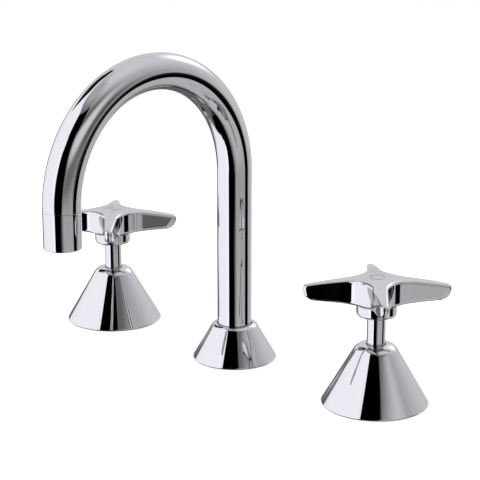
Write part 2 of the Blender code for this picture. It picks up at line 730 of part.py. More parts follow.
def cross_handle(shop, name, place):
    """The four-armed handle: crowned above, hollow between the arms, bored from below."""
    rim_steps = [math.pi / 2 * i / EDGE_STEPS for i in range(EDGE_STEPS + 1)]
    rings = []
    outer = cross_outline(0)
    bore_angles = [math.atan2(p.y, p.x) for p in outer]
    bore = [Vector((HUB_BORE * math.cos(a), HUB_BORE * math.sin(a))) for a in bore_angles]
    rings.append([(p.x, p.y, HUB_BORE_TOP) for p in bore])
    rings.append([(p.x, p.y, HUB_UNDERSIDE) for p in bore])
    for i in range(KEEL_STEPS + 1):
        rings.append(lower_ring(math.pi / 2 * i / KEEL_STEPS))
    for angle in reversed(rim_steps):
        plan = cross_outline(UPPER_ROUND * (1 - math.sin(angle)))
        drop = UPPER_ROUND * (1 - math.cos(angle))
        rings.append([(p.x, p.y, crown_top(p.length) - drop) for p in plan])
    plan = cross_outline(UPPER_ROUND)
    for share in CROWN_RING_SHARES:
        rings.append([(p.x * share, p.y * share, crown_top(p.length * share)) for p in plan])
    mesh = bpy.data.meshes.new(name)
    shape = bmesh.new()
    loops = [[shape.verts.new(point) for point in ring] for ring in rings]
    for lower, upper in zip(loops, loops[1:]):
        bridge(shape, lower, upper)
    cap(shape, loops[0], (0, 0, HUB_BORE_TOP), False)
    cap(shape, loops[-1], (0, 0, CROWN_TOP), True)
    shape.to_mesh(mesh)
    shape.free()
    mesh.shade_smooth()
    mesh.set_sharp_from_angle(angle=SHARP_ANGLE)
    return shop.piece(name, mesh, "chrome", place)


def handle_unit(shop, label, side):
    """One valve with its handle: hot at -X, cold at +X."""
    place = (side * HANDLE_SPREAD / 2, UNIT_Y, 0)
    cone_flange(shop, label + "_flange", place, HANDLE_CONE)
    gasket(shop, label + "_flange_gasket", place, HANDLE_CONE)
    flange_bush(shop, label + "_flange_bush", place)
    valve_body(shop, label + "_valve_body", place, side)
    seat_seal(shop, label + "_seat_seal", place)
    fixed_disc(shop, label + "_fixed_disc", place)
    moving_disc(shop, label + "_moving_disc", place)
    headwork_housing(shop, label + "_headwork_housing", place)
    body_ring = ring_points(
        CHAMBER_RADIUS - RING_NIP - BODY_RING_SECTION / 2, BODY_HEIGHT - BODY_RING_DROP,
        BODY_RING_SECTION, RING_SIDES)
    turned(shop, label + "_headwork_oring", body_ring, TURN_STEPS, "rubber", place)
    spindle(shop, label + "_spindle", place)
    spindle_ring = ring_points(
        SPINDLE_BORE - RING_NIP - SPINDLE_RING_SECTION / 2, NECK_TOP - SPINDLE_RING_DROP,
        SPINDLE_RING_SECTION, RING_SIDES)
    turned(shop, label + "_spindle_oring", spindle_ring, SPINDLE_STEPS, "rubber", place)
    circlip(shop, label + "_circlip", place)
    stem_sleeve(shop, label + "_stem_sleeve", place)
    hub_collar(shop, label + "_hub_collar", place)
    handle_bush(shop, label + "_handle_bush", place)
    socket_screw(
        shop, label + "_grub_screw", place, SPINDLE_TIP_RADIUS + GAP, COLLAR_RADIUS - GRUB_RECESS,
        GRUB_Z, GRUB_RADIUS)
    cross_handle(shop, label + "_cross_handle", place)


def spout_path(low_end):
    """Centre line of the gooseneck, from the foot up, over and down past the nozzle's seam."""
    points = [(0, 0, low_end)]
    for i in range(BEND_STEPS + 1):
        angle = math.pi * i / BEND_STEPS
        y = -BEND_RADIUS * (1 - math.cos(angle))
        z = BEND_HEIGHT + BEND_RADIUS * math.sin(angle)
        points.append((0, y, z))
    points.append((0, -SPOUT_REACH, BEND_HEIGHT - CUT_OVERRUN))
    return points


def swept_mesh(name, points, radius, bevel):
    """A round bar along a path, welded into one closed mesh."""
    curve = bpy.data.curves.new(name + "_path", "CURVE")
    curve.dimensions = "3D"
    curve.bevel_depth = radius
    curve.bevel_resolution = bevel
    curve.use_fill_caps = True
    line = curve.splines.new("POLY")
    line.points.add(len(points) - 1)
    for point, place in zip(line.points, points):
        point.co = (*place, 1)
    guide = bpy.data.objects.new(name + "_path", curve)
    bpy.context.scene.collection.objects.link(guide)
    graph = bpy.context.evaluated_depsgraph_get()
    mesh = bpy.data.meshes.new_from_object(guide.evaluated_get(graph))
    bpy.data.objects.remove(guide, do_unlink=True)
    shape = bmesh.new()
    shape.from_mesh(mesh)
    bmesh.ops.remove_doubles(shape, verts=shape.verts, dist=MERGE_DISTANCE)
    bmesh.ops.recalc_face_normals(shape, faces=shape.faces)
    shape.to_mesh(mesh)
    shape.free()
    mesh.materials.clear()
    mesh.shade_smooth()
    mesh.set_sharp_from_angle(angle=SHARP_ANGLE)
    mesh.name = name
    return mesh


def spout_tube(shop, name, place):
    """The gooseneck, bored right through and drilled for the stop screw."""
    tube = shop.piece(
        name, swept_mesh(name, spout_path(TUBE_BOTTOM), TUBE_RADIUS, TUBE_BEVEL), "chrome", place)
    inside = swept_mesh(name + "_bore", spout_path(TUBE_BOTTOM - CUT_OVERRUN), TUBE_BORE, BORE_BEVEL)
    combine(tube, shop.cutter(name + "_bore", inside, place), "DIFFERENCE")
    side = TUBE_RADIUS + CUT_OVERRUN
    trim = block_mesh(
        name + "_trim", (-side, -SPOUT_REACH - side, BEND_HEIGHT - 2 * CUT_OVERRUN),
        (side, -SPOUT_REACH + side, BEND_HEIGHT))
    combine(tube, shop.cutter(name + "_trim", trim, place), "DIFFERENCE")
    hole = rod_mesh(
        name + "_hole", [(0, SPIGOT_RADIUS, STOP_HEIGHT)], (0, 1, 0),
        TUBE_RADIUS + CUT_OVERRUN - SPIGOT_RADIUS, STOP_RADIUS + GRUB_CLEARANCE, HOLE_STEPS)
    combine(tube, shop.cutter(name + "_hole", hole, place), "DIFFERENCE")
    return tube


def spout_foot(shop, name, place):
    """The brass foot: inlet socket, spigot, two ring grooves and the stop's arc groove."""
    groove_half = FOOT_RING_SECTION / 2 + RING_NIP
    points = [(SPIGOT_BORE, SPIGOT_HEIGHT), (SPIGOT_RADIUS, SPIGOT_HEIGHT)]
    for middle in (FOOT_RING_HIGH, FOOT_RING_LOW):
        points += [
            (SPIGOT_RADIUS, middle + groove_half),
            (FOOT_GROOVE_RADIUS, middle + groove_half),
            (FOOT_GROOVE_RADIUS, middle - groove_half),
            (SPIGOT_RADIUS, middle - groove_half),
        ]
    points += [
        (SPIGOT_RADIUS, FOOT_HEIGHT),
        (FOOT_RADIUS, FOOT_HEIGHT),
        (FOOT_RADIUS, 0),
        (INLET_RADIUS, 0),
        (INLET_RADIUS, FOOT_INLET_DEPTH),
        (SPIGOT_BORE, FOOT_INLET_DEPTH),
    ]
    foot = turned(shop, name, points, TURN_STEPS, "brass", place)
    half_height = STOP_RADIUS + GAP
    floor = SPIGOT_RADIUS - STOP_GROOVE_DEPTH
    outer = SPIGOT_RADIUS + GAP / 2
    low = STOP_HEIGHT - half_height
    high = STOP_HEIGHT + half_height
    groove = turned_cutter(
        shop, name + "_stop_groove", [(floor, high), (outer, high), (outer, low), (floor, low)],
        TURN_STEPS, place)
    tip = floor + GAP
    shut = tip * math.cos(SWIVEL_LIMIT) - STOP_RADIUS * math.sin(SWIVEL_LIMIT) - GAP
    reach = outer + CUT_OVERRUN
    mask = block_mesh(
        name + "_stop_land", (-reach, -reach, low - CUT_OVERRUN), (reach, shut, high + CUT_OVERRUN))
    combine(groove, shop.cutter(name + "_stop_land", mask, place), "DIFFERENCE")
    combine(foot, groove, "DIFFERENCE")
    return foot


def flat_ring(shop, name, place, inner, outer, low, high, finish):
    points = [(inner, high), (outer, high), (outer, low), (inner, low)]
    return turned(shop, name, points, TURN_STEPS, finish, place)


def perforate(shop, disc, place, low, high):
    """A ring of jet holes through a disc."""
    starts = []
    for i in range(JET_COUNT):
        angle = math.tau * i / JET_COUNT
        starts.append((
            JET_RING_RADIUS * math.cos(angle), JET_RING_RADIUS * math.sin(angle), low - CUT_OVERRUN))
    holes = rod_mesh(
        disc.name + "_jets", starts, (0, 0, 1), high - low + 2 * CUT_OVERRUN, JET_RADIUS, HOLE_STEPS)
    cutter = shop.cutter(disc.name + "_jets", holes, place)
    cutter.parent = disc.parent
    combine(disc, cutter, "DIFFERENCE")


def aerator(shop, pivot):
    """The nozzle at the end of the spout and what it holds."""
    place = (0, -SPOUT_REACH, 0)
    spigot_top = NOZZLE_TOP + NOZZLE_SPIGOT
    points = [
        (NOZZLE_NECK_RADIUS, spigot_top),
        (NOZZLE_SPIGOT_RADIUS, spigot_top),
        (NOZZLE_SPIGOT_RADIUS, NOZZLE_TOP),
        (TUBE_RADIUS, NOZZLE_TOP),
        (TUBE_RADIUS, NOZZLE_BOTTOM + NOZZLE_ROUND),
        (TUBE_RADIUS - NOZZLE_ROUND, NOZZLE_BOTTOM),
        (NOZZLE_BORE, NOZZLE_BOTTOM),
        (NOZZLE_BORE, SHELF_Z),
        (NOZZLE_NECK_RADIUS, SHELF_Z),
    ]
    pieces = [turned(shop, "aerator_housing", points, TURN_STEPS, "chrome", place)]
    radius = NOZZLE_BORE - GAP
    for name, low, height, finish in (
            ("aerator_insert", INSERT_BOTTOM, INSERT_HEIGHT, "nylon"),
            ("aerator_screen", SCREEN_BOTTOM, SCREEN_THICKNESS, "steel")):
        high = low + height
        disc = turned(
            shop, name, [(0, high), (radius, high), (radius, low), (0, low)], TURN_STEPS, finish, place)
        disc.parent = pivot
        perforate(shop, disc, place, low, high)
    pieces.append(flat_ring(
        shop, "aerator_washer", place, radius - WASHER_WIDTH, radius, WASHER_BOTTOM,
        WASHER_BOTTOM + WASHER_THICKNESS, "rubber"))
    for piece in pieces:
        piece.parent = pivot


def spout_unit(shop):
    place = (0, UNIT_Y, 0)
    pivot = bpy.data.objects.new("spout_swivel_axis", None)
    pivot.location = place
    shop.parts.objects.link(pivot)
    cone_flange(shop, "spout_flange", place, SPOUT_CONE)
    gasket(shop, "spout_flange_gasket", place, SPOUT_CONE)
    spout_foot(shop, "spout_foot", place)
    flat_ring(
        shop, "spout_bearing_ring", place, SPIGOT_RADIUS + GAP, TUBE_RADIUS, FOOT_HEIGHT + GAP,
        FOOT_HEIGHT + GAP + BEARING_THICKNESS, "nylon")
    flat_ring(
        shop, "spout_guide_ring", place, TUBE_RADIUS + GAP, SPOUT_CONE.inside(GUIDE_TOP) - GAP,
        GUIDE_BOTTOM, GUIDE_TOP, "nylon")
    for name, middle in (("spout_oring_lower", FOOT_RING_LOW), ("spout_oring_upper", FOOT_RING_HIGH)):
        points = ring_points(
            TUBE_BORE - RING_NIP - FOOT_RING_SECTION / 2, middle, FOOT_RING_SECTION, RING_SIDES)
        turned(shop, name, points, TURN_STEPS, "rubber", place)
    spout_tube(shop, "spout_tube", place)
    socket_screw(
        shop, "spout_stop_screw", place, SPIGOT_RADIUS - STOP_GROOVE_DEPTH + GAP, TUBE_RADIUS - RING_NIP,
        STOP_HEIGHT, STOP_RADIUS)
    aerator(shop, pivot)


def main():
    clear_scene()
    shop = Shop()
    handle_unit(shop, "hot", -1)
    handle_unit(shop, "cold", 1)
    spout_unit(shop)


main()
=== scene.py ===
"""Widespread bathroom faucet: the finished look, built round its fixed frame.

Metres, +Z up. The deck is the plane z = 0, the spout points to -Y, the hot valve stands at -X and
the cold valve at +X. Each operator makes one piece or one group of like pieces, and the last one
makes the stage.
"""

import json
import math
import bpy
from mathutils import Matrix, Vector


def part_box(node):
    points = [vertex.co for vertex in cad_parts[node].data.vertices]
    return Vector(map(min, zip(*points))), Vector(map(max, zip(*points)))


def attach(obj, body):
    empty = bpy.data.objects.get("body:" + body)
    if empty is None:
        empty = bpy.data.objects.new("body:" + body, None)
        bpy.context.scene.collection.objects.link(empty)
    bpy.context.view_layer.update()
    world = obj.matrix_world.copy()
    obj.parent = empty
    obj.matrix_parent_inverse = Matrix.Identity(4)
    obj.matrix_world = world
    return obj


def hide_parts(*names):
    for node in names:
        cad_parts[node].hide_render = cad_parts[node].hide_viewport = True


bl_info = {
    "name": "Widespread bathroom faucet",
    "version": (1, 0, 0),
    "blender": (4, 5, 0),
    "location": "3D View > Sidebar > Faucet",
    "description": "Gooseneck spout, two cross handles, conical flanges and their works",
    "category": "Object",
}

from collections import namedtuple

import bmesh
import bpy
from bpy.props import FloatProperty, FloatVectorProperty, IntProperty, PointerProperty
from mathutils import Matrix, Vector

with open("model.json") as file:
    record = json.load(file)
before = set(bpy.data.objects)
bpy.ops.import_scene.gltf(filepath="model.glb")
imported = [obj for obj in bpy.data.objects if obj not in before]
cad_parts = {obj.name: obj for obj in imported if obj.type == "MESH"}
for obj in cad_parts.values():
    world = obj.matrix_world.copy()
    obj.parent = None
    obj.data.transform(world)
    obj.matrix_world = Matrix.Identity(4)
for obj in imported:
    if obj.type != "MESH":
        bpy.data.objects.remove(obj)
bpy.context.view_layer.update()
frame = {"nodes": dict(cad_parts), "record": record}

# The bodies that the pieces ride on
DECK = "deck_set"
SPOUT = "spout"
HOT_HANDLE = "hot_handle"
COLD_HANDLE = "cold_handle"
VALVES = (("hot", HOT_HANDLE), ("cold", COLD_HANDLE))

# Shapes
SHARP_ANGLE = math.radians(35)
RIM_ANGLE = math.radians(60)
FILLET_STEP = math.radians(7.5)
TURN_STEPS = 192
HOLE_SIDES = 32
FLOOR_SIDES = 96
SAME_PLACE = 0.00001
HOLD = 0.0003


def axis_of(node):
    """Where the axis of a round, upright node stands on the deck."""
    low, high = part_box(node)
    return (low.x + high.x) / 2, (low.y + high.y) / 2


def radius_of(node):
    low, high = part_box(node)
    return (high.x - low.x) / 2


def foot_of(node):
    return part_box(node)[0].z


def top_of(node):
    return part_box(node)[1].z


TUBE_LOW, TUBE_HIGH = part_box("spout_tube")
TUBE_RADIUS = radius_of("spout_tube")
TUBE_REACH = TUBE_HIGH.y - TUBE_LOW.y - 2 * TUBE_RADIUS


# Settings

def length(name, description, default):
    return FloatProperty(
        name=name, description=description, default=default, min=0, precision=5, unit="LENGTH")


def angle(name, description, degrees):
    return FloatProperty(
        name=name, description=description, default=math.radians(degrees),
        subtype="ANGLE", unit="ROTATION")


def share(name, description, default):
    return FloatProperty(name=name, description=description, default=default, min=0, soft_max=1)


def colour(name, description, default):
    return FloatVectorProperty(
        name=name, description=description, default=default, size=3, min=0, max=1, subtype="COLOR")


def count(name, description, default):
    return IntProperty(name=name, description=description, default=default, min=3)


class SpoutSettings(bpy.types.PropertyGroup):
    tube_radius: length("Tube radius", "Outer radius of the gooseneck", TUBE_RADIUS)
    tube_wall: length("Tube wall", "Thickness of the gooseneck's wall", 0.0015)
    reach: length("Reach", "From the column's axis to the nozzle's", TUBE_REACH)
    bend_height: length(
        "Bend height", "Where the straight column ends and the bend begins",
        TUBE_HIGH.z - TUBE_REACH / 2 - TUBE_RADIUS)
    foot: length("Foot", "Height of the tube's lower end", TUBE_LOW.z)
    rim: length("Rim", "Width of the small bevel at the tube's ends", 0.00006)
    rings: count("Rings", "Rings of points along the gooseneck", 200)
    sides: count("Sides", "Sides of the gooseneck", 96)


class NozzleSettings(bpy.types.PropertyGroup):
    wall: length("Wall", "Thickness of the nozzle's wall", 0.0015)
    seam_gap: length("Seam gap", "Gap between the tube's end and the nozzle's shoulder", 0.00003)
    seam_edge: length("Seam edge", "Round along the seam with the tube", 0.00006)
    edge: length("Edge", "Round of the small edges", 0.0003)
    mouth_edge: length("Mouth edge", "Round of the outer edge at the mouth", 0.0006)
    spigot_radius: length("Spigot radius", "Outer radius of that spigot", 0.00745)
    neck_radius: length("Neck radius", "Radius of the waterway through the spigot", 0.0062)
    shelf_drop: length("Shelf drop", "From the seam down to the washer's shelf", 0.0028)
    jets: count("Jets", "Jet holes in the outer ring", 8)
    jet_radius: length("Jet radius", "Radius of a jet hole", 0.0009)
    jet_ring: length("Jet ring", "Radius of the ring that the outer jets stand on", 0.0048)
    lip: length("Jet lip", "Thickness of the raised lip round each jet", 0.0003)
    lip_steps: count("Lip steps", "Steps round a jet's lip", 32)
    lip_sides: count("Lip sides", "Sides of the lip's own section", 12)


class FlangeSettings(bpy.types.PropertyGroup):
    wall: length("Wall", "Thickness of the cone's wall, level with the deck", 0.0025)
    roof: length("Roof", "Thickness of the top round the stem", 0.0024)
    lip: length("Lip", "Height and width of the small chamfer at the deck", 0.0007)
    edge: length("Edge", "Round of the small edges", 0.00025)
    slope: angle("Slope", "How far the cone's side leans from upright", 30)
    handle_shoulder: length("Handle shoulder", "Round of a handle flange's shoulder", 0.0065)
    spout_shoulder: length("Spout shoulder", "Round of the spout flange's shoulder", 0.0034)
    clearance: length("Clearance", "Gap round the stem or the tube", 0.0003)


class StemSettings(bpy.types.PropertyGroup):
    bore: length("Bore", "Radius of the hole through the sleeve", 0.0034)
    edge: length("Edge", "Round of the small edges", 0.0002)
    collar_round: length("Collar round", "Round of the collar's lower edge", 0.0021)
    hub_bore: length("Hub bore", "Radius of the hole for the bush", 0.0056)
    screw_hole: length("Screw hole", "Radius of the grub screw's hole", 0.0013)


class HandleSettings(bpy.types.PropertyGroup):
    reach: length("Reach", "From the axis to the end of an arm", 0.0378)
    nose: length("Nose", "Radius of an arm's rounded end, seen from above", 0.0023)
    fillet: length("Hollow", "Radius of the hollow between two arms", 0.0155)
    waist: length("Waist", "From the axis to the deepest point between two arms", 0.0117)
    turn: angle("Turn", "How far the arms are turned from the set's own axes", 44.5)
    crown_drop: length("Crown drop", "How far the top falls from the hub to an arm's end", 0.0040)
    crown_power: FloatProperty(
        name="Crown power", description="How late the top begins to fall", default=1.8, min=1)
    tip_rise: length("Tip rise", "How far the underside rises along an arm", 0.0018)
    land: length("Land", "Level ring of the underside round the collar", 0.0013)
    tuck: length("Tuck", "How far an arm's end draws back towards its underside", 0.0042)
    keel: length("Keel", "How much higher the lower round reaches at an arm's end", 0.0042)
    keel_run: length("Keel run", "Length along the arm over which it does so", 0.0040)
    top_rim: length("Top rim", "Round of the upper edge", 0.0016)
    low_rim: length("Low rim", "Round of the lower edge", 0.0018)
    bore_depth: length("Bore depth", "Depth of the hole from below", 0.0088)


class MarkSettings(bpy.types.PropertyGroup):
    height: length("Height", "Height of an index mark", 0.0075)
    width: length("Width", "Width of an index mark", 0.0068)
    gap: angle("Gap", "Opening of the round mark", 48)
    gap_turn: angle("Gap turn", "How far that opening is turned from the right", 14)
    line: length("Line", "Width of its line", 0.00054)
    proud: length("Proud", "How far the line stands above the handle", 0.00005)
    bar_steps: count("Bar steps", "Steps along a straight line of a mark", 12)
    bow_steps: count("Bow steps", "Steps along the round mark", 40)


class FinishSettings(bpy.types.PropertyGroup):
    chrome: colour("Chrome", "Polished chrome plate", (0.558, 0.561, 0.569))
    edge_tint: share("Edge tint", "How much of its whitening the chrome keeps at its outline", 0.76)
    brass: colour("Brass", "Machined brass of the works", (0.78, 0.57, 0.27))
    steel: colour("Steel", "Screws, clips and screen", (0.62, 0.62, 0.63))
    rubber: colour("Rubber", "Seals and gaskets", (0.03, 0.03, 0.03))
    nylon: colour("Nylon", "Bushes, bearing rings and the aerator's insert", (0.82, 0.80, 0.74))
    ceramic: colour("Ceramic", "Lapped valve discs", (0.90, 0.89, 0.86))
    mark: colour("Mark", "Line of the index marks", (0.25, 0.19, 0.12))
    polish: share("Polish", "Roughness of the chrome", 0.03)


class StudioSettings(bpy.types.PropertyGroup):
    camera: FloatVectorProperty(
        name="Camera", description="Where the camera stands", size=3,
        default=(0.564001, -0.537172, 0.295883), subtype="TRANSLATION", unit="LENGTH")
    azimuth: angle("Azimuth", "How far the camera is turned from looking along +Y", 43.558)
    tilt: angle("Tilt", "How far the camera looks down", 15.654)
    lens: FloatProperty(
        name="Lens", description="Focal length in millimetres", default=115.873, min=1)
    sensor: FloatProperty(
        name="Sensor", description="Sensor width in millimetres", default=36, min=1)
    near: length("Near limit", "Nearest distance that the camera shows", 0.03)
    floor_radius: length("Floor radius", "Radius of the round floor", 6.0)
    floor: colour("Floor", "Colour of the floor", (0.90, 0.90, 0.90))
    floor_glow: share("Floor glow", "What the seen floor adds to meet the white behind it", 0.40)
    fill: share("Fill", "Level of the even light from all round", 0.60)
    lamp_height: length("Lamp height", "Height of the soft lamp", 1.4)
    lamp_size: length("Lamp size", "Width of the soft lamp", 1.2)
    lamp_power: FloatProperty(name="Lamp power", description="Power in watts", default=7.0, min=0)


# Materials

# Where a colour Mix node keeps its sockets
MIX_FACTOR = 0
MIX_FIRST = 6
MIX_SECOND = 7
MIX_RESULT = 2

# The middle band that noise mostly stays in
NOISE_LOW = 0.3
NOISE_HIGH = 0.7


class Graph:
    """A node tree with short ways to add nodes and join them."""

    def __init__(self, tree):
        self.tree = tree

    def add(self, kind, inputs=(), **values):
        node = self.tree.nodes.new(kind)
        for name, value in values.items():
            setattr(node, name, value)
        for key, value in dict(inputs).items():
            if isinstance(value, bpy.types.NodeSocket):
                self.tree.links.new(value, node.inputs[key])
            else:
                node.inputs[key].default_value = value
        return node

    def math(self, operation, *terms):
        return self.add("ShaderNodeMath", dict(enumerate(terms)), operation=operation).outputs[0]

    def spread(self, value, low, high, start, end, smooth=False):
        """Maps a value from low..high to start..end, held at both ends."""
        node = self.add(
            "ShaderNodeMapRange",
            {"Value": value, "From Min": low, "From Max": high, "To Min": start, "To Max": end},
            interpolation_type="SMOOTHSTEP" if smooth else "LINEAR")
        return node.outputs["Result"]

    def blend(self, factor, first, second):
        """Mixes two colours."""
        inputs = {MIX_FACTOR: factor, MIX_FIRST: first, MIX_SECOND: second}
        return self.add("ShaderNodeMix", inputs, data_type="RGBA").outputs[MIX_RESULT]


def new_material(name, tint, metallic, roughness):
    """A material whose Principled shader the caller adds detail to."""
    material = bpy.data.materials.new(name)
    material.use_nodes = True
    shader = material.node_tree.nodes["Principled BSDF"]
    shader.inputs["Base Color"].default_value = (*tint, 1)
    shader.inputs["Metallic"].default_value = metallic
    shader.inputs["Roughness"].default_value = roughness
    return material, Graph(material.node_tree), shader


def grain(graph, scale, detail, stretch=(1, 1, 1)):
    """Noise over the piece's own coordinates."""
    place = graph.add("ShaderNodeTexCoord").outputs["Object"]
    mapped = graph.add("ShaderNodeMapping", {"Vector": place, "Scale": stretch})
    noise = graph.add(
        "ShaderNodeTexNoise", {"Vector": mapped.outputs[0], "Scale": scale, "Detail": detail})
    return noise.outputs["Fac"]


def roughen(graph, shader, value, smooth, rough, low=NOISE_LOW, high=NOISE_HIGH):
    """Lets the roughness wander between two values."""
    graph.tree.links.new(graph.spread(value, low, high, smooth, rough), shader.inputs["Roughness"])


def relief(graph, shader, height, strength, depth):
    bump = graph.add("ShaderNodeBump", {"Height": height, "Strength": strength, "Distance": depth})
    graph.tree.links.new(bump.outputs["Normal"], shader.inputs["Normal"])


def tinted(graph, shader, value, dark, pale):
    """Lets the base colour wander between two near shades."""
    mixed = graph.blend(value, (*dark, 1), (*pale, 1))
    graph.tree.links.new(mixed, shader.inputs["Base Color"])


def shades(tint, change):
    """A colour a little darker and a little paler than the tint."""
    dark = [channel * (1 - change) for channel in tint]
    pale = [min(1, channel * (1 + change)) for channel in tint]
    return dark, pale


def chrome(tint, polish, edge):
    """Mirror plate: faint polishing haze, hairline wipe marks and a trace of orange peel."""
    material, graph, shader = new_material("polished_chrome", tint, metallic=1, roughness=polish)
    shader.inputs["Specular Tint"].default_value = (edge, edge, edge, 1)
    haze = grain(graph, scale=70, detail=3)
    wiped = grain(graph, scale=240, detail=2, stretch=(1, 1, 14))
    worn = graph.math(
        "MULTIPLY", graph.spread(haze, 0.35, 0.7, 0, 1), graph.spread(wiped, 0.45, 0.75, 0, 1))
    roughen(graph, shader, worn, smooth=polish * 0.6, rough=polish * 1.9, low=0, high=1)
    tinted(graph, shader, grain(graph, scale=45, detail=2), *shades(tint, change=0.012))
    relief(graph, shader, grain(graph, scale=160, detail=1), strength=0.03, depth=0.00002)
    return material


def brass(tint):
    """Turned brass: tool rings, dull patches and slightly darker pores."""
    material, graph, shader = new_material("turned_brass", tint, metallic=1, roughness=0.3)
    rings = grain(graph, scale=30, detail=2, stretch=(4, 4, 90))
    dull = grain(graph, scale=180, detail=4)
    roughen(graph, shader, dull, smooth=0.2, rough=0.42)
    tinted(graph, shader, graph.math("MULTIPLY", dull, rings), *shades(tint, change=0.2))
    relief(graph, shader, rings, strength=0.25, depth=0.00006)
    return material


def steel(tint):
    """Plain stainless, drawn along one way."""
    material, graph, shader = new_material("plain_stainless", tint, metallic=1, roughness=0.27)
    drawn = grain(graph, scale=420, detail=3, stretch=(1, 1, 9))
    roughen(graph, shader, drawn, smooth=0.18, rough=0.36)
    tinted(graph, shader, drawn, *shades(tint, change=0.08))
    relief(graph, shader, drawn, strength=0.15, depth=0.00002)
    return material


def rubber(tint):
    """Matt moulded rubber with a dusty bloom."""
    material, graph, shader = new_material("moulded_rubber", tint, metallic=0, roughness=0.7)
    bloom = grain(graph, scale=260, detail=5)
    roughen(graph, shader, bloom, smooth=0.6, rough=0.85)
    tinted(graph, shader, bloom, dark=tint, pale=[channel + 0.03 for channel in tint])
    relief(graph, shader, grain(graph, scale=900, detail=2), strength=0.3, depth=0.00004)
    return material


def nylon(tint):
    """Moulded off-white plastic, faintly clouded."""
    material, graph, shader = new_material("moulded_nylon", tint, metallic=0, roughness=0.42)
    shader.inputs["Subsurface Weight"].default_value = 0.08
    shader.inputs["Subsurface Radius"].default_value = (0.002, 0.0018, 0.0014)
    cloud = grain(graph, scale=120, detail=3)
    roughen(graph, shader, cloud, smooth=0.36, rough=0.5)
    tinted(graph, shader, cloud, *shades(tint, change=0.05))
    relief(graph, shader, grain(graph, scale=700, detail=2), strength=0.15, depth=0.00003)
    return material


def ceramic(tint):
    """Lapped ceramic: very flat, finely speckled."""
    material, graph, shader = new_material("lapped_ceramic", tint, metallic=0, roughness=0.18)
    speck = grain(graph, scale=1500, detail=2)
    roughen(graph, shader, speck, smooth=0.12, rough=0.26, low=0.35, high=0.65)
    tinted(graph, shader, speck, *shades(tint, change=0.04))
    return material


def index_line(tint):
    """The fired line of an index mark, a little uneven in depth."""
    material, graph, shader = new_material("index_line", tint, metallic=0, roughness=0.38)
    uneven = grain(graph, scale=1100, detail=3)
    roughen(graph, shader, uneven, smooth=0.3, rough=0.5)
    tinted(graph, shader, uneven, *shades(tint, change=0.15))
    return material


def finish(name):
    """The material of a slot, made once."""
    if name not in MADE:
        tints = bpy.context.scene.faucet_finish
        if name == "chrome":
            MADE[name] = chrome(tints.chrome, tints.polish, tints.edge_tint)
        else:
            MADE[name] = MAKERS[name](getattr(tints, name))
    return MADE[name]


MAKERS = {
    "brass": brass,
    "steel": steel,
    "rubber": rubber,
    "nylon": nylon,
    "ceramic": ceramic,
    "mark": index_line,
}
MADE = {}


# Meshes

def new_piece(name, mesh, material):
    piece = bpy.data.objects.new(name, mesh)
    mesh.materials.clear()
    mesh.materials.append(material)
    bpy.context.scene.collection.objects.link(piece)
    return piece


def finished_mesh(name, shape):
    """Closes a shape: doubles merged, faces turned outwards, smooth but for its sharp edges."""
    bmesh.ops.remove_doubles(shape, verts=shape.verts, dist=SAME_PLACE)
    bmesh.ops.recalc_face_normals(shape, faces=shape.faces)
    mesh = bpy.data.meshes.new(name)
    shape.to_mesh(mesh)
    shape.free()
    mesh.shade_smooth()
    mesh.set_sharp_from_angle(angle=SHARP_ANGLE)
    return mesh


def rounded(corner, before, after, radius):
    """Points of the arc that rounds one corner of an outline."""
    if not radius:
        return [corner]
    back = (before - corner).normalized()
    ahead = (after - corner).normalized()
    half = back.angle(ahead) / 2
    centre = corner + (back + ahead).normalized() * radius / math.sin(half)
    run = radius / math.tan(half)
    start = (corner + back * run - centre).normalized()
    end = (corner + ahead * run - centre).normalized()
    steps = max(2, min(round(start.angle(end) / FILLET_STEP), round(radius / SAME_PLACE / 2)))
    return [centre + start.slerp(end, i / steps) * radius for i in range(steps + 1)]


def outline(corners):
    """A closed outline from (radius, height, round) corners. Straight runs get a point close to
    each end, so that a round's shading doesn't spread over the flat beside it."""
    places = [Vector(corner[:2]) for corner in corners]
    last = len(corners) - 1
    arcs = []
    for i, corner in enumerate(corners):
        following = places[0 if i == last else i + 1]
        arcs.append(rounded(places[i], places[i - 1], following, corner[2]))
    points = []
    for i, arc in enumerate(arcs):
        points += arc
        start = arc[-1]
        end = arcs[0 if i == last else i + 1][0]
        run = end - start
        if run.length > 3 * HOLD:
            step = run.normalized() * HOLD
            points += [start + step, end - step]
    return points


def turned_mesh(name, corners, axis, steps=TURN_STEPS):
    """A closed solid turned about an upright axis. A corner on the axis closes to a point."""
    shape = bmesh.new()
    points = outline(corners)
    rings = []
    for i in range(steps):
        turn = math.tau * i / steps
        rings.append([
            shape.verts.new((axis[0] + p.x * math.cos(turn), axis[1] + p.x * math.sin(turn), p.y))
            for p in points])
    for i in range(steps):
        for j in range(len(points)):
            k = (j + 1) % len(points)
            if max(points[j].x, points[k].x) > SAME_PLACE:
                shape.faces.new((rings[i - 1][j], rings[i][j], rings[i][k], rings[i - 1][k]))
    return finished_mesh(name, shape)


def cut(mesh, cutter):
    """Cuts one mesh from another and gives the result back as a plain mesh."""
    body = new_piece(mesh.name + "_body", mesh, finish("chrome"))
    tool = new_piece(mesh.name + "_tool", cutter, finish("chrome"))
    step = body.modifiers.new("cut", "BOOLEAN")
    step.operation = "DIFFERENCE"
    step.solver = "EXACT"
    step.object = tool
    result = plain_mesh(body, mesh.name)
    for thing in (body, tool):
        bpy.data.objects.remove(thing)
    return result


def plain_mesh(thing, name):
    """What an object looks like with its modifiers, as a mesh of its own."""
    graph = bpy.context.evaluated_depsgraph_get()
    mesh = bpy.data.meshes.new_from_object(thing.evaluated_get(graph))
    mesh.name = name
    return mesh


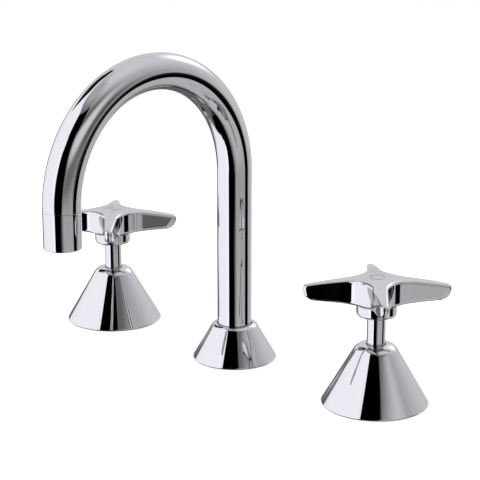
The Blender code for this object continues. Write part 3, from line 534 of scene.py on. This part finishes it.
def rod_mesh(name, start, end, radius, sides):
    """A plain bar between two points, for cutting a hole."""
    shape = bmesh.new()
    run = Vector(end) - Vector(start)
    middle = Matrix.Translation((Vector(start) + Vector(end)) / 2)
    bmesh.ops.create_cone(
        shape, cap_ends=True, segments=sides, radius1=radius, radius2=radius, depth=run.length,
        matrix=middle @ run.to_track_quat("Z", "Y").to_matrix().to_4x4())
    mesh = bpy.data.meshes.new(name)
    shape.to_mesh(mesh)
    shape.free()
    return mesh


def settle(piece, body, slot, *nodes):
    """Ties a finished piece to the frame: its body and the nodes that it stands for. The slot, its
    finish, is not used.
    """
    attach(piece, body)
    if nodes:
        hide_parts(*nodes)


# Geometry node trees

def node_group(name, inputs):
    """An empty geometry tree with named inputs, its graph and the sockets that they arrive on."""
    tree = bpy.data.node_groups.new(name, "GeometryNodeTree")
    tree.interface.new_socket("Geometry", in_out="INPUT", socket_type="NodeSocketGeometry")
    for label, kind in inputs:
        tree.interface.new_socket(label, in_out="INPUT", socket_type="NodeSocket" + kind)
    tree.interface.new_socket("Geometry", in_out="OUTPUT", socket_type="NodeSocketGeometry")
    graph = Graph(tree)
    arriving = graph.add("NodeGroupInput").outputs
    return graph, arriving


def close_group(graph, geometry, material):
    """Ends a tree: instances made real, the material set, the result handed out."""
    real = graph.add("GeometryNodeRealizeInstances", {"Geometry": geometry})
    painted = graph.add(
        "GeometryNodeSetMaterial", {"Geometry": real.outputs[0], "Material": material})
    graph.add("NodeGroupOutput", {"Geometry": painted.outputs[0]})


def run_group(name, graph, values):
    """Runs a tree on an empty mesh, its inputs set by their identifiers, and returns the result."""
    carrier = bpy.data.objects.new(name + "_carrier", bpy.data.meshes.new(name + "_carrier"))
    bpy.context.scene.collection.objects.link(carrier)
    step = carrier.modifiers.new("grow", "NODES")
    step.node_group = graph.tree
    for item in graph.tree.interface.items_tree:
        if item.in_out == "INPUT" and item.name in values:
            step[item.identifier] = values[item.name]
    mesh = plain_mesh(carrier, name)
    carrier.modifiers.remove(step)
    bpy.data.objects.remove(carrier)
    return mesh


def gooseneck_tree():
    """Sweeps a circle up the column and over the bend, by a formula of the way along the path."""
    graph, given = node_group("gooseneck", (
        ("Reach", "Float"),
        ("Bend Height", "Float"),
        ("Foot", "Float"),
        ("Axis Y", "Float"),
        ("Tube Radius", "Float"),
        ("Rings", "Int"),
        ("Sides", "Int"),
        ("Material", "Material"),
    ))
    bend = graph.math("DIVIDE", given["Reach"], 2)
    column = graph.math("SUBTRACT", given["Bend Height"], given["Foot"])
    whole = graph.math("ADD", column, graph.math("MULTIPLY", bend, math.pi))
    line = graph.add("GeometryNodeCurvePrimitiveLine", {"End": (0, 0, 1)})
    fine = graph.add(
        "GeometryNodeResampleCurve", {"Curve": line.outputs[0], "Count": given["Rings"]})
    way = graph.math("MULTIPLY", graph.add("GeometryNodeSplineParameter").outputs["Factor"], whole)
    past = graph.math("DIVIDE", graph.math("SUBTRACT", way, column), bend)
    turn = graph.math("MINIMUM", graph.math("MAXIMUM", past, 0), math.pi)
    forward = graph.math("MULTIPLY", bend, graph.math("SUBTRACT", 1, graph.math("COSINE", turn)))
    rise = graph.math("MULTIPLY", bend, graph.math("SINE", turn))
    upright = graph.math("ADD", given["Foot"], graph.math("MINIMUM", way, column))
    place = graph.add("ShaderNodeCombineXYZ", {
        "Y": graph.math("SUBTRACT", given["Axis Y"], forward),
        "Z": graph.math("ADD", upright, rise),
    })
    path = graph.add(
        "GeometryNodeSetPosition", {"Geometry": fine.outputs[0], "Position": place.outputs[0]})
    section = graph.add(
        "GeometryNodeCurvePrimitiveCircle",
        {"Resolution": given["Sides"], "Radius": given["Tube Radius"]})
    tube = graph.add(
        "GeometryNodeCurveToMesh",
        {"Curve": path.outputs[0], "Profile Curve": section.outputs["Curve"]})
    smooth = graph.add("GeometryNodeSetShadeSmooth", {"Geometry": tube.outputs[0]})
    close_group(graph, smooth.outputs[0], given["Material"])
    return graph


def jet_tree():
    """Lips round the jet holes, all on one ring."""
    graph, given = node_group("jet_lips", (
        ("Jets", "Int"),
        ("Ring Radius", "Float"),
        ("Lip Radius", "Float"),
        ("Lip", "Float"),
        ("Lip Steps", "Int"),
        ("Lip Sides", "Int"),
        ("Centre", "Vector"),
        ("Material", "Material"),
    ))
    ring = graph.add(
        "GeometryNodeMeshCircle", {"Vertices": given["Jets"], "Radius": given["Ring Radius"]})
    seat = graph.add(
        "GeometryNodeCurvePrimitiveCircle",
        {"Resolution": given["Lip Steps"], "Radius": given["Lip Radius"]})
    section = graph.add(
        "GeometryNodeCurvePrimitiveCircle",
        {"Resolution": given["Lip Sides"], "Radius": given["Lip"]})
    lip = graph.add(
        "GeometryNodeCurveToMesh",
        {"Curve": seat.outputs["Curve"], "Profile Curve": section.outputs["Curve"]})
    smooth = graph.add("GeometryNodeSetShadeSmooth", {"Geometry": lip.outputs[0]})
    copies = graph.add(
        "GeometryNodeInstanceOnPoints", {"Points": ring.outputs[0], "Instance": smooth.outputs[0]})
    moved = graph.add(
        "GeometryNodeTransform", {"Geometry": copies.outputs[0], "Translation": given["Centre"]})
    close_group(graph, moved.outputs[0], given["Material"])
    return graph


# The spout

class FAUCET_OT_spout(bpy.types.Operator):
    """Make the gooseneck: a drawn tube, bent over and open at both ends"""

    bl_idname = "faucet.spout"
    bl_label = "Spout tube"

    def execute(self, context):
        sizes = context.scene.faucet_spout
        axis_x, axis_y = axis_of("spout_flange")
        mesh = run_group("spout_skin", gooseneck_tree(), {
            "Reach": sizes.reach,
            "Bend Height": sizes.bend_height,
            "Foot": sizes.foot,
            "Axis Y": axis_y,
            "Tube Radius": sizes.tube_radius,
            "Rings": sizes.rings,
            "Sides": sizes.sides,
            "Material": finish("chrome"),
        })
        self.level_end(mesh, sizes, axis_y - sizes.reach / 2)
        skin = new_piece("spout_skin", mesh, finish("chrome"))
        wall = skin.modifiers.new("wall", "SOLIDIFY")
        wall.thickness = sizes.tube_wall
        wall.offset = -1
        rim = skin.modifiers.new("rim", "BEVEL")
        rim.width = sizes.rim
        rim.segments = 1
        rim.limit_method = "ANGLE"
        rim.angle_limit = RIM_ANGLE
        walled = plain_mesh(skin, "gooseneck")
        walled.set_sharp_from_angle(angle=SHARP_ANGLE)
        tube = new_piece("gooseneck", walled, finish("chrome"))
        bpy.data.objects.remove(skin)
        settle(tube, SPOUT, "chrome", "spout_tube")
        return {"FINISHED"}

    def level_end(self, mesh, sizes, middle):
        """Sets the ring at the nozzle's end exactly level, so that the seam is even."""
        slack = sizes.tube_radius / 20
        for vertex in mesh.vertices:
            if vertex.co.y < middle and abs(vertex.co.z - sizes.bend_height) < slack:
                vertex.co.z = sizes.bend_height


class FAUCET_OT_nozzle(bpy.types.Operator):
    """Make the nozzle at the end of the spout and the lips round its jets"""

    bl_idname = "faucet.nozzle"
    bl_label = "Nozzle"

    def execute(self, context):
        sizes = context.scene.faucet_nozzle
        axis = axis_of("aerator_housing")
        radius = radius_of("aerator_housing")
        foot = foot_of("aerator_housing")
        top = top_of("aerator_housing")
        seam = context.scene.faucet_spout.bend_height - sizes.seam_gap
        shelf = seam - sizes.shelf_drop
        corners = [
            (sizes.neck_radius, top, 0),
            (sizes.spigot_radius, top, sizes.edge),
            (sizes.spigot_radius, seam, 0),
            (radius, seam, sizes.seam_edge),
            (radius, foot, sizes.mouth_edge),
            (radius - sizes.wall, foot, sizes.edge),
            (radius - sizes.wall, shelf, 0),
            (sizes.neck_radius, shelf, 0),
        ]
        housing = new_piece("nozzle", turned_mesh("nozzle", corners, axis), finish("chrome"))
        settle(housing, SPOUT, "chrome", "aerator_housing")
        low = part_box("aerator_insert")[0]
        lips = run_group("jet_lips", jet_tree(), {
            "Jets": sizes.jets,
            "Ring Radius": sizes.jet_ring,
            "Lip Radius": sizes.jet_radius + sizes.lip,
            "Lip": sizes.lip,
            "Lip Steps": sizes.lip_steps,
            "Lip Sides": sizes.lip_sides,
            "Centre": (*axis, low.z),
            "Material": finish("nylon"),
        })
        settle(new_piece("jet_lips", lips, finish("nylon")), SPOUT, "nylon")
        return {"FINISHED"}


# Flanges

def cone_corners(sizes, radius, height, shoulder, bore):
    """A hollow cone's section: rounded shoulder, small chamfer at the deck, roof round the stem."""
    slope = math.tan(sizes.slope)
    inside = radius - sizes.wall
    roof = height - sizes.roof
    return [
        (bore, height, sizes.edge),
        (radius - (height - sizes.lip) * slope, height, shoulder),
        (radius, sizes.lip, sizes.edge),
        (radius - sizes.lip, 0, sizes.edge / 2),
        (inside + sizes.lip * slope, 0, 0),
        (inside - (roof - sizes.lip) * slope, roof, sizes.edge),
        (bore, roof, 0),
    ]


class FAUCET_OT_flanges(bpy.types.Operator):
    """Make the three conical flanges"""

    bl_idname = "faucet.flanges"
    bl_label = "Flanges"

    def execute(self, context):
        sizes = context.scene.faucet_flange
        sets = []
        for side, _ in VALVES:
            sets.append((side + "_flange", side + "_stem_sleeve", sizes.handle_shoulder))
        sets.append(("spout_flange", "spout_tube", sizes.spout_shoulder))
        for node, through, shoulder in sets:
            bore = radius_of(through) + sizes.clearance
            corners = cone_corners(sizes, radius_of(node), top_of(node), shoulder, bore)
            name = node.replace("flange", "cone")
            cone = new_piece(name, turned_mesh(name, corners, axis_of(node)), finish("chrome"))
            settle(cone, DECK, "chrome", node)
        return {"FINISHED"}


# Stems and collars

class FAUCET_OT_stems(bpy.types.Operator):
    """Make the bright sleeves and the collars under the handles"""

    bl_idname = "faucet.stems"
    bl_label = "Stems and collars"

    def execute(self, context):
        sizes = context.scene.faucet_stem
        for side, body in VALVES:
            sleeve = side + "_stem_sleeve"
            axis = axis_of(sleeve)
            corners = [
                (sizes.bore, top_of(sleeve), 0),
                (radius_of(sleeve), top_of(sleeve), sizes.edge),
                (radius_of(sleeve), foot_of(sleeve), sizes.edge),
                (sizes.bore, foot_of(sleeve), 0),
            ]
            name = side + "_stem"
            stem = new_piece(name, turned_mesh(name, corners, axis), finish("chrome"))
            settle(stem, body, "chrome", sleeve)
            self.collar(sizes, side, body, axis)
        return {"FINISHED"}

    def collar(self, sizes, side, body, axis):
        node = side + "_hub_collar"
        clearance = sizes.hub_bore - radius_of(side + "_handle_bush")
        counterbore = radius_of(side + "_stem_sleeve") + clearance
        seat = top_of(side + "_stem_sleeve") + clearance
        radius = radius_of(node)
        foot = foot_of(node)
        top = top_of(node)
        corners = [
            (sizes.hub_bore, top, 0),
            (radius, top, sizes.edge),
            (radius, foot, sizes.collar_round),
            (counterbore, foot, sizes.edge),
            (counterbore, seat, 0),
            (sizes.hub_bore, seat, 0),
        ]
        name = side + "_collar"
        screw_low, screw_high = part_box(side + "_grub_screw")
        level = (screw_low.z + screw_high.z) / 2
        start = (axis[0], screw_low.y, level)
        end = (axis[0], axis[1] + radius + sizes.collar_round, level)
        hole = rod_mesh(name + "_hole", start, end, sizes.screw_hole, HOLE_SIDES)
        ring = cut(turned_mesh(name, corners, axis), hole)
        settle(new_piece(name, ring, finish("chrome")), body, "chrome", node)


# Handles

class Cross:
    """The plan and the heights of a cross handle about its own axis."""

    noses = 12
    walls = 14
    hollows = 16
    rounds = 10
    soles = 8
    crowns = 14
    arms = 4

    def __init__(self, sizes, foot, top):
        self.sizes = sizes
        self.foot = foot
        self.top = top

    def over(self, radius):
        """Height of the crowned top at a distance from the axis."""
        sizes = self.sizes
        return self.top - sizes.crown_drop * (radius / sizes.reach) ** sizes.crown_power

    def under(self, radius, flat):
        """Height of the underside: level over the collar, rising outwards."""
        run = max(0, radius - flat) / (self.sizes.reach - flat)
        return self.foot + self.sizes.tip_rise * math.sin(run * math.pi / 2)

    def plan(self, inset, tuck=0):
        """Outline of the four arms: round noses, straight sides, hollow corners. An inset draws it
        in all round, a tuck draws the arms' ends back between the same sides."""
        sizes = self.sizes
        corner = (sizes.waist + sizes.fillet) / math.sqrt(2)
        across = Vector((corner - sizes.reach + sizes.nose, corner))
        bend = math.acos((sizes.nose + sizes.fillet) / across.length)
        side = math.atan2(across.y, across.x) - bend
        back = tuck / (1 - math.cos(side))
        nose_x = sizes.reach - sizes.nose - back
        nose_radius = sizes.nose + back * math.cos(side) - inset
        nose = self.arc((nose_x, 0), nose_radius, 0, side, self.noses)
        hollow = self.arc(
            (corner, corner), sizes.fillet + inset, side + math.pi, math.pi * 5 / 4, self.hollows)
        wall = [nose[-1].lerp(hollow[0], i / self.walls) for i in range(1, self.walls)]
        half = nose + wall + hollow
        quarter = half + [Vector((p.y, p.x)) for p in reversed(half[1:-1])]
        points = []
        for arm in range(self.arms):
            spin = Matrix.Rotation(sizes.turn + arm * math.tau / self.arms, 2)
            points += [spin @ p for p in quarter]
        return points

    def low_ring(self, turn, flat):
        """A ring of the lower round, from the underside (0) to the upright side (a quarter turn).
        At the arms' ends the round grows into a keel like a boat's."""
        sizes = self.sizes
        inward = 1 - math.sin(turn)
        upward = 1 - math.cos(turn)
        end = sizes.reach - sizes.tuck * inward - sizes.nose
        ring = []
        for p in self.plan(sizes.low_rim * inward, sizes.tuck * inward):
            far = min(1, max(0, (end - p.length) / sizes.keel_run))
            grown = sizes.keel * (1 - far * far * (3 - 2 * far))
            ring.append((p, self.under(p.length, flat) + upward * (sizes.low_rim + grown)))
        return ring

    def arc(self, centre, radius, start, end, steps):
        turns = [start + (end - start) * i / steps for i in range(steps + 1)]
        return [Vector(centre) + Vector((math.cos(t), math.sin(t))) * radius for t in turns]


def handle_mesh(name, cross, axis, hub_bore, flat):
    """A cross handle as one closed skin of rings, from the bore's roof out and over the crown."""
    sizes = cross.sizes
    turns = [math.pi / 2 * i / cross.rounds for i in range(cross.rounds + 1)]
    bore = [p.normalized() * hub_bore for p in cross.plan(0)]
    roof = cross.foot + sizes.bore_depth
    sole = cross.plan(sizes.low_rim + HOLD, sizes.tuck)
    rings = [[(p, roof) for p in bore], [(p, cross.foot) for p in bore]]
    for i in range(1, cross.soles + 1):
        reached = [b.lerp(p, i / cross.soles) for b, p in zip(bore, sole)]
        rings.append([(p, cross.under(p.length, flat)) for p in reached])
    low_rings = [cross.low_ring(turn, flat) for turn in turns]
    rings += low_rings
    rings.append([(p, height + HOLD) for p, height in low_rings[-1]])
    rings.append([(p, cross.over(p.length) - sizes.top_rim - HOLD) for p in cross.plan(0)])
    for turn in reversed(turns):
        drop = sizes.top_rim * (1 - math.cos(turn))
        inset = sizes.top_rim * (1 - math.sin(turn))
        rings.append([(p, cross.over(p.length) - drop) for p in cross.plan(inset)])
    edge = cross.plan(sizes.top_rim + HOLD)
    for i in range(cross.crowns):
        reached = [p * (1 - i / cross.crowns) for p in edge]
        rings.append([(p, cross.over(p.length)) for p in reached])
    shape = bmesh.new()
    loops = []
    for ring in rings:
        loops.append([shape.verts.new((axis[0] + p.x, axis[1] + p.y, z)) for p, z in ring])
    for lower, upper in zip(loops, loops[1:]):
        for i in range(len(lower)):
            shape.faces.new((lower[i - 1], lower[i], upper[i], upper[i - 1]))
    for loop, height in ((loops[0], roof), (loops[-1], cross.top)):
        middle = shape.verts.new((*axis, height))
        for i in range(len(loop)):
            shape.faces.new((loop[i - 1], loop[i], middle))
    return finished_mesh(name, shape)


class FAUCET_OT_handles(bpy.types.Operator):
    """Make the two cross handles"""

    bl_idname = "faucet.handles"
    bl_label = "Cross handles"

    def execute(self, context):
        sizes = context.scene.faucet_handle
        for side, body in VALVES:
            node = side + "_cross_handle"
            cross = Cross(sizes, foot_of(node), top_of(node))
            hub_bore = context.scene.faucet_stem.hub_bore
            flat = radius_of(side + "_hub_collar") + sizes.land
            name = side + "_cross"
            mesh = handle_mesh(name, cross, axis_of(side + "_hub_collar"), hub_bore, flat)
            settle(new_piece(name, mesh, finish("chrome")), body, "chrome", node)
        return {"FINISHED"}


# Index marks

def ribbon(shape, cross, axis, path, width, proud):
    """A line of even width laid on the crown, closed at both ends."""
    sections = []
    for i, point in enumerate(path):
        ahead = path[min(i + 1, len(path) - 1)]
        behind = path[max(i - 1, 0)]
        side = (ahead - behind).orthogonal().normalized() * width / 2
        section = []
        for edge, lift in ((side, proud), (-side, proud), (-side, -proud), (side, -proud)):
            place = point + edge
            section.append(shape.verts.new(
                (axis[0] + place.x, axis[1] + place.y, cross.over(place.length) + lift)))
        sections.append(section)
    for lower, upper in zip(sections, sections[1:]):
        for i in range(4):
            shape.faces.new((lower[i - 1], lower[i], upper[i], upper[i - 1]))
    shape.faces.new(sections[0])
    shape.faces.new(reversed(sections[-1]))


def straight(start, end, steps):
    return [Vector(start).lerp(Vector(end), i / steps) for i in range(steps + 1)]


class FAUCET_OT_marks(bpy.types.Operator):
    """Make the index marks on the handles: a plain H for hot and a plain C for cold"""

    bl_idname = "faucet.marks"
    bl_label = "Index marks"

    def execute(self, context):
        sizes = context.scene.faucet_mark
        half_width = sizes.width / 2
        half_height = sizes.height / 2
        bars = [
            straight((-half_width, -half_height), (-half_width, half_height), sizes.bar_steps),
            straight((half_width, -half_height), (half_width, half_height), sizes.bar_steps),
            straight((-half_width, 0), (half_width, 0), sizes.bar_steps),
        ]
        start = sizes.gap_turn + sizes.gap / 2
        step = (math.tau - sizes.gap) / sizes.bow_steps
        turns = [start + step * i for i in range(sizes.bow_steps + 1)]
        bow = [Vector((math.cos(t), math.sin(t))) * half_height for t in turns]
        for (side, body), paths in zip(VALVES, (bars, [bow])):
            node = side + "_cross_handle"
            cross = Cross(context.scene.faucet_handle, foot_of(node), top_of(node))
            shape = bmesh.new()
            for path in paths:
                ribbon(shape, cross, axis_of(side + "_hub_collar"), path, sizes.line, sizes.proud)
            bmesh.ops.recalc_face_normals(shape, faces=shape.faces)
            mesh = bpy.data.meshes.new(side + "_index")
            shape.to_mesh(mesh)
            shape.free()
            settle(new_piece(side + "_index", mesh, finish("mark")), body, "brass")
        return {"FINISHED"}


# The works, which keep the frame's own solids

class FAUCET_OT_works(bpy.types.Operator):
    """Give the works their finishes: bodies, discs, seals, bushes, clips and screws"""

    bl_idname = "faucet.works"
    bl_label = "Works"

    def execute(self, context):
        for part in frame["record"]["subparts"]:
            node = frame["nodes"][part["node"]]
            material = finish(part["material_slot"])
            node.data.materials.clear()
            node.data.materials.append(material)
        return {"FINISHED"}


# The stage

Card = namedtuple("Card", "turn height half_turn half_height corner soft level lean")

# What the chrome sees, as (turn from the camera to its right, height, half sizes) in degrees, then
# how square the corners are, how soft the edge is, how bright the card is and how far it leans per
# degree of height. A later card stands in front of an earlier one.
CARDS = (
    Card(-60, 78, 95, 22, 3, 0.45, 0.64, 0),
    Card(-32, 60, 50, 7.5, 4, 0.80, 0.42, 0),
    Card(-110, -62, 45, 13, 6, 0.20, 0.40, 0),
    Card(180, -84, 180, 18, 8, 0.30, 0.40, 0),
    Card(68, -45, 62, 36, 8, 0.14, 0.69, 0),
    Card(-29, -40, 35.5, 52, 8, 0.45, 0, 0),
    Card(46, 22, 48, 30, 3, 0.90, 0.59, -0.4),
    Card(18, 43, 34, 10, 3, 0.80, 0.38, 0),
    Card(34, 2, 44, 12.5, 3, 0.80, 0.41, 0),
    Card(62, 11, 14, 12, 3, 0.60, 0.34, -0.9),
    Card(-48, -64, 45, 11, 8, 0.10, 0, 0),
    Card(-47.6, 12, 55, 28, 12, 0.047, 0, 0),
    Card(-26, -27, 24, 12, 8, 0.20, 0, 0.45),
    Card(-16, 47.5, 29, 12, 8, 0.08, 0, 0),
    Card(38.5, 24, 25.5, 10.8, 3, 0.60, 0.80, 0),
    Card(8.4, -19, 1.3, 5, 10, 0.10, 0.36, 0),
    Card(-95, 5, 55, 57.5, 7, 0.04, 0.95, 0),
    Card(-44, -56, 13, 8, 3, 0.15, 0, 0),
    Card(-43, 36, 5.5, 6, 3, 0.15, 0.93, 0),
    Card(-47.5, 14, 3.5, 20, 4, 0.30, 1, 0),
    Card(-44, -27, 6.5, 15, 4, 0.15, 1, 0),
    Card(-158, -12, 14, 17, 6, 0.20, 0.44, 0),
    Card(-147, -25, 13, 11, 4, 0.15, 0.40, 0),
    Card(-166, -34, 18, 6, 4, 0.40, 0.33, 0),
    Card(181, -50, 53, 21, 8, 0.20, 0.38, 0),
    Card(182, 24, 30, 13, 3, 0.30, 0.83, 0),
    Card(-140, 47, 19, 9.5, 6, 0.08, 0.09, 0),
    Card(-139, 37, 15.3, 8.5, 4, 0.10, 0.12, 0),
    Card(86, -16.5, 13, 10.5, 6, 0.16, 0, 0),
    Card(83, -9, 14, 3, 6, 0.50, 0.18, 0),
    Card(163, -23, 20, 8, 4, 0.70, 0.95, 0),
    Card(145, 29, 15, 11.5, 2, 0.80, 1.15, 0),
)
PALE_WALL = 0.79
WHITE = 1
DISPLAY_CURVE = 2.2
COOLNESS = 0.06
MIRRORED = 0.6


def card_share(graph, turn, height, card):
    """How much of a card a direction sees: 1 inside, 0 outside, smooth over its soft edge."""
    up = graph.math("SUBTRACT", height, card.height)
    leaning = graph.math("ADD", graph.math("MULTIPLY", up, card.lean), card.turn)
    aside = graph.math("WRAP", graph.math("SUBTRACT", turn, leaning), 180, -180)
    powers = []
    for distance, half_size in ((aside, card.half_turn), (up, card.half_height)):
        part = graph.math("DIVIDE", graph.math("ABSOLUTE", distance), half_size)
        powers.append(graph.math("POWER", part, card.corner))
    reach = graph.math("POWER", graph.math("ADD", *powers), 1 / card.corner)
    return graph.spread(reach, 1 + card.soft, 1 - card.soft, 0, 1, smooth=True)


def grey(level):
    """A card's light from its brightness as seen in the chrome, cooler the paler it is."""
    light = level ** DISPLAY_CURVE / MIRRORED
    return light, light, light * (1 + COOLNESS * level * level), 1


def looked_at(graph):
    """1 where the camera, a mirror or glass looks and 0 for plain light, and the light path."""
    rays = graph.add("ShaderNodeLightPath").outputs
    looked = graph.math("MAXIMUM", rays["Is Camera Ray"], rays["Is Glossy Ray"])
    return graph.math("MAXIMUM", looked, rays["Is Transmission Ray"]), rays


def studio_world(studio):
    """Even light, a white ground behind the object, and the cards that the chrome mirrors."""
    world = bpy.data.worlds.new("studio")
    world.use_nodes = True
    world.node_tree.nodes.clear()
    graph = Graph(world.node_tree)
    direction = graph.add("ShaderNodeTexCoord").outputs["Generated"]
    facing = graph.add(
        "ShaderNodeVectorRotate", {"Vector": direction, "Angle": math.pi / 2 - studio.azimuth},
        rotation_type="Z_AXIS")
    split = graph.add("ShaderNodeSeparateXYZ", {"Vector": facing.outputs[0]})
    turn = graph.math("DEGREES", graph.math("ARCTAN2", split.outputs["Y"], split.outputs["X"]))
    height = graph.math("DEGREES", graph.math("ARCSINE", split.outputs["Z"]))
    seen = grey(PALE_WALL)
    for card in CARDS:
        seen = graph.blend(card_share(graph, turn, height, card), seen, grey(card.level))
    looked, rays = looked_at(graph)
    behind = graph.blend(rays["Is Camera Ray"], seen, (WHITE, WHITE, WHITE, 1))
    light = graph.blend(looked, (studio.fill, studio.fill, studio.fill, 1), behind)
    background = graph.add("ShaderNodeBackground", {"Color": light})
    graph.add("ShaderNodeOutputWorld", {"Surface": background.outputs[0]})
    return world


def floor_material(studio):
    """Pale matt floor that meets the white behind and takes the shadow. It is clear from below."""
    material, graph, shader = new_material("pale_floor", studio.floor, metallic=0, roughness=0.9)
    shader.inputs["Specular IOR Level"].default_value = 0
    tinted(graph, shader, grain(graph, scale=6, detail=2), *shades(studio.floor, change=0.01))
    glowing = graph.math("MULTIPLY", looked_at(graph)[0], studio.floor_glow)
    glow = graph.add("ShaderNodeEmission", {"Strength": glowing})
    lit = graph.add("ShaderNodeAddShader", {0: shader.outputs[0], 1: glow.outputs[0]})
    clear = graph.add("ShaderNodeBsdfTransparent")
    under = graph.add("ShaderNodeNewGeometry").outputs["Backfacing"]
    both = graph.add("ShaderNodeMixShader", {0: under, 1: lit.outputs[0], 2: clear.outputs[0]})
    output = material.node_tree.nodes["Material Output"]
    graph.tree.links.new(both.outputs[0], output.inputs["Surface"])
    return material


class FAUCET_OT_stage(bpy.types.Operator):
    """Make the floor, the soft lamp, the white surroundings and the camera"""

    bl_idname = "faucet.stage"
    bl_label = "Stage"

    def execute(self, context):
        scene = context.scene
        studio = scene.faucet_studio
        scene.world = studio_world(studio)
        scene.view_settings.view_transform = "Standard"
        self.lay_floor(studio)
        self.hang_lamp(scene, studio)
        self.set_camera(scene, studio)
        return {"FINISHED"}

    def lay_floor(self, studio):
        shape = bmesh.new()
        bmesh.ops.create_circle(
            shape, cap_ends=True, segments=FLOOR_SIDES, radius=studio.floor_radius)
        mesh = bpy.data.meshes.new("floor")
        shape.to_mesh(mesh)
        shape.free()
        floor = new_piece("floor", mesh, floor_material(studio))
        floor.visible_glossy = False

    def hang_lamp(self, scene, studio):
        lamp = bpy.data.lights.new("soft_lamp", "AREA")
        lamp.size = studio.lamp_size
        lamp.energy = studio.lamp_power
        holder = bpy.data.objects.new("soft_lamp", lamp)
        holder.location = (0, 0, studio.lamp_height)
        holder.visible_glossy = False
        scene.collection.objects.link(holder)

    def set_camera(self, scene, studio):
        lens = bpy.data.cameras.new("camera")
        lens.lens = studio.lens
        lens.sensor_width = studio.sensor
        lens.clip_start = studio.near
        camera = bpy.data.objects.new("camera", lens)
        camera.location = studio.camera
        camera.rotation_euler = (math.pi / 2 - studio.tilt, 0, studio.azimuth)
        scene.collection.objects.link(camera)
        scene.camera = camera


# The panel and the list of classes

class FAUCET_PT_panel(bpy.types.Panel):
    """The faucet's settings and pieces"""

    bl_idname = "FAUCET_PT_panel"
    bl_label = "Widespread faucet"
    bl_space_type = "VIEW_3D"
    bl_region_type = "UI"
    bl_category = "Faucet"

    def draw(self, context):
        for operator, group in PIECES:
            box = self.layout.box()
            box.operator(operator.bl_idname)
            settings = getattr(context.scene, group)
            for name in settings.bl_rna.properties.keys():
                if name not in ("rna_type", "name"):
                    box.prop(settings, name)


SETTINGS = (
    ("faucet_spout", SpoutSettings),
    ("faucet_nozzle", NozzleSettings),
    ("faucet_flange", FlangeSettings),
    ("faucet_stem", StemSettings),
    ("faucet_handle", HandleSettings),
    ("faucet_mark", MarkSettings),
    ("faucet_finish", FinishSettings),
    ("faucet_studio", StudioSettings),
)
PIECES = (
    (FAUCET_OT_spout, "faucet_spout"),
    (FAUCET_OT_nozzle, "faucet_nozzle"),
    (FAUCET_OT_flanges, "faucet_flange"),
    (FAUCET_OT_stems, "faucet_stem"),
    (FAUCET_OT_handles, "faucet_handle"),
    (FAUCET_OT_marks, "faucet_mark"),
    (FAUCET_OT_works, "faucet_finish"),
    (FAUCET_OT_stage, "faucet_studio"),
)


def register():
    for name, settings in SETTINGS:
        bpy.utils.register_class(settings)
        setattr(bpy.types.Scene, name, PointerProperty(type=settings))
    for operator, _ in PIECES:
        bpy.utils.register_class(operator)
    bpy.utils.register_class(FAUCET_PT_panel)


def unregister():
    bpy.utils.unregister_class(FAUCET_PT_panel)
    for operator, _ in reversed(PIECES):
        bpy.utils.unregister_class(operator)
    for name, settings in reversed(SETTINGS):
        delattr(bpy.types.Scene, name)
        bpy.utils.unregister_class(settings)


def main():
    register()
    for thing in ("Cube", "Light", "Camera"):
        if thing in bpy.data.objects:
            bpy.data.objects.remove(bpy.data.objects[thing])
    bpy.ops.faucet.spout()
    bpy.ops.faucet.nozzle()
    bpy.ops.faucet.flanges()
    bpy.ops.faucet.stems()
    bpy.ops.faucet.handles()
    bpy.ops.faucet.marks()
    bpy.ops.faucet.works()
    bpy.ops.faucet.stage()


if __name__ == "__main__":
    main()
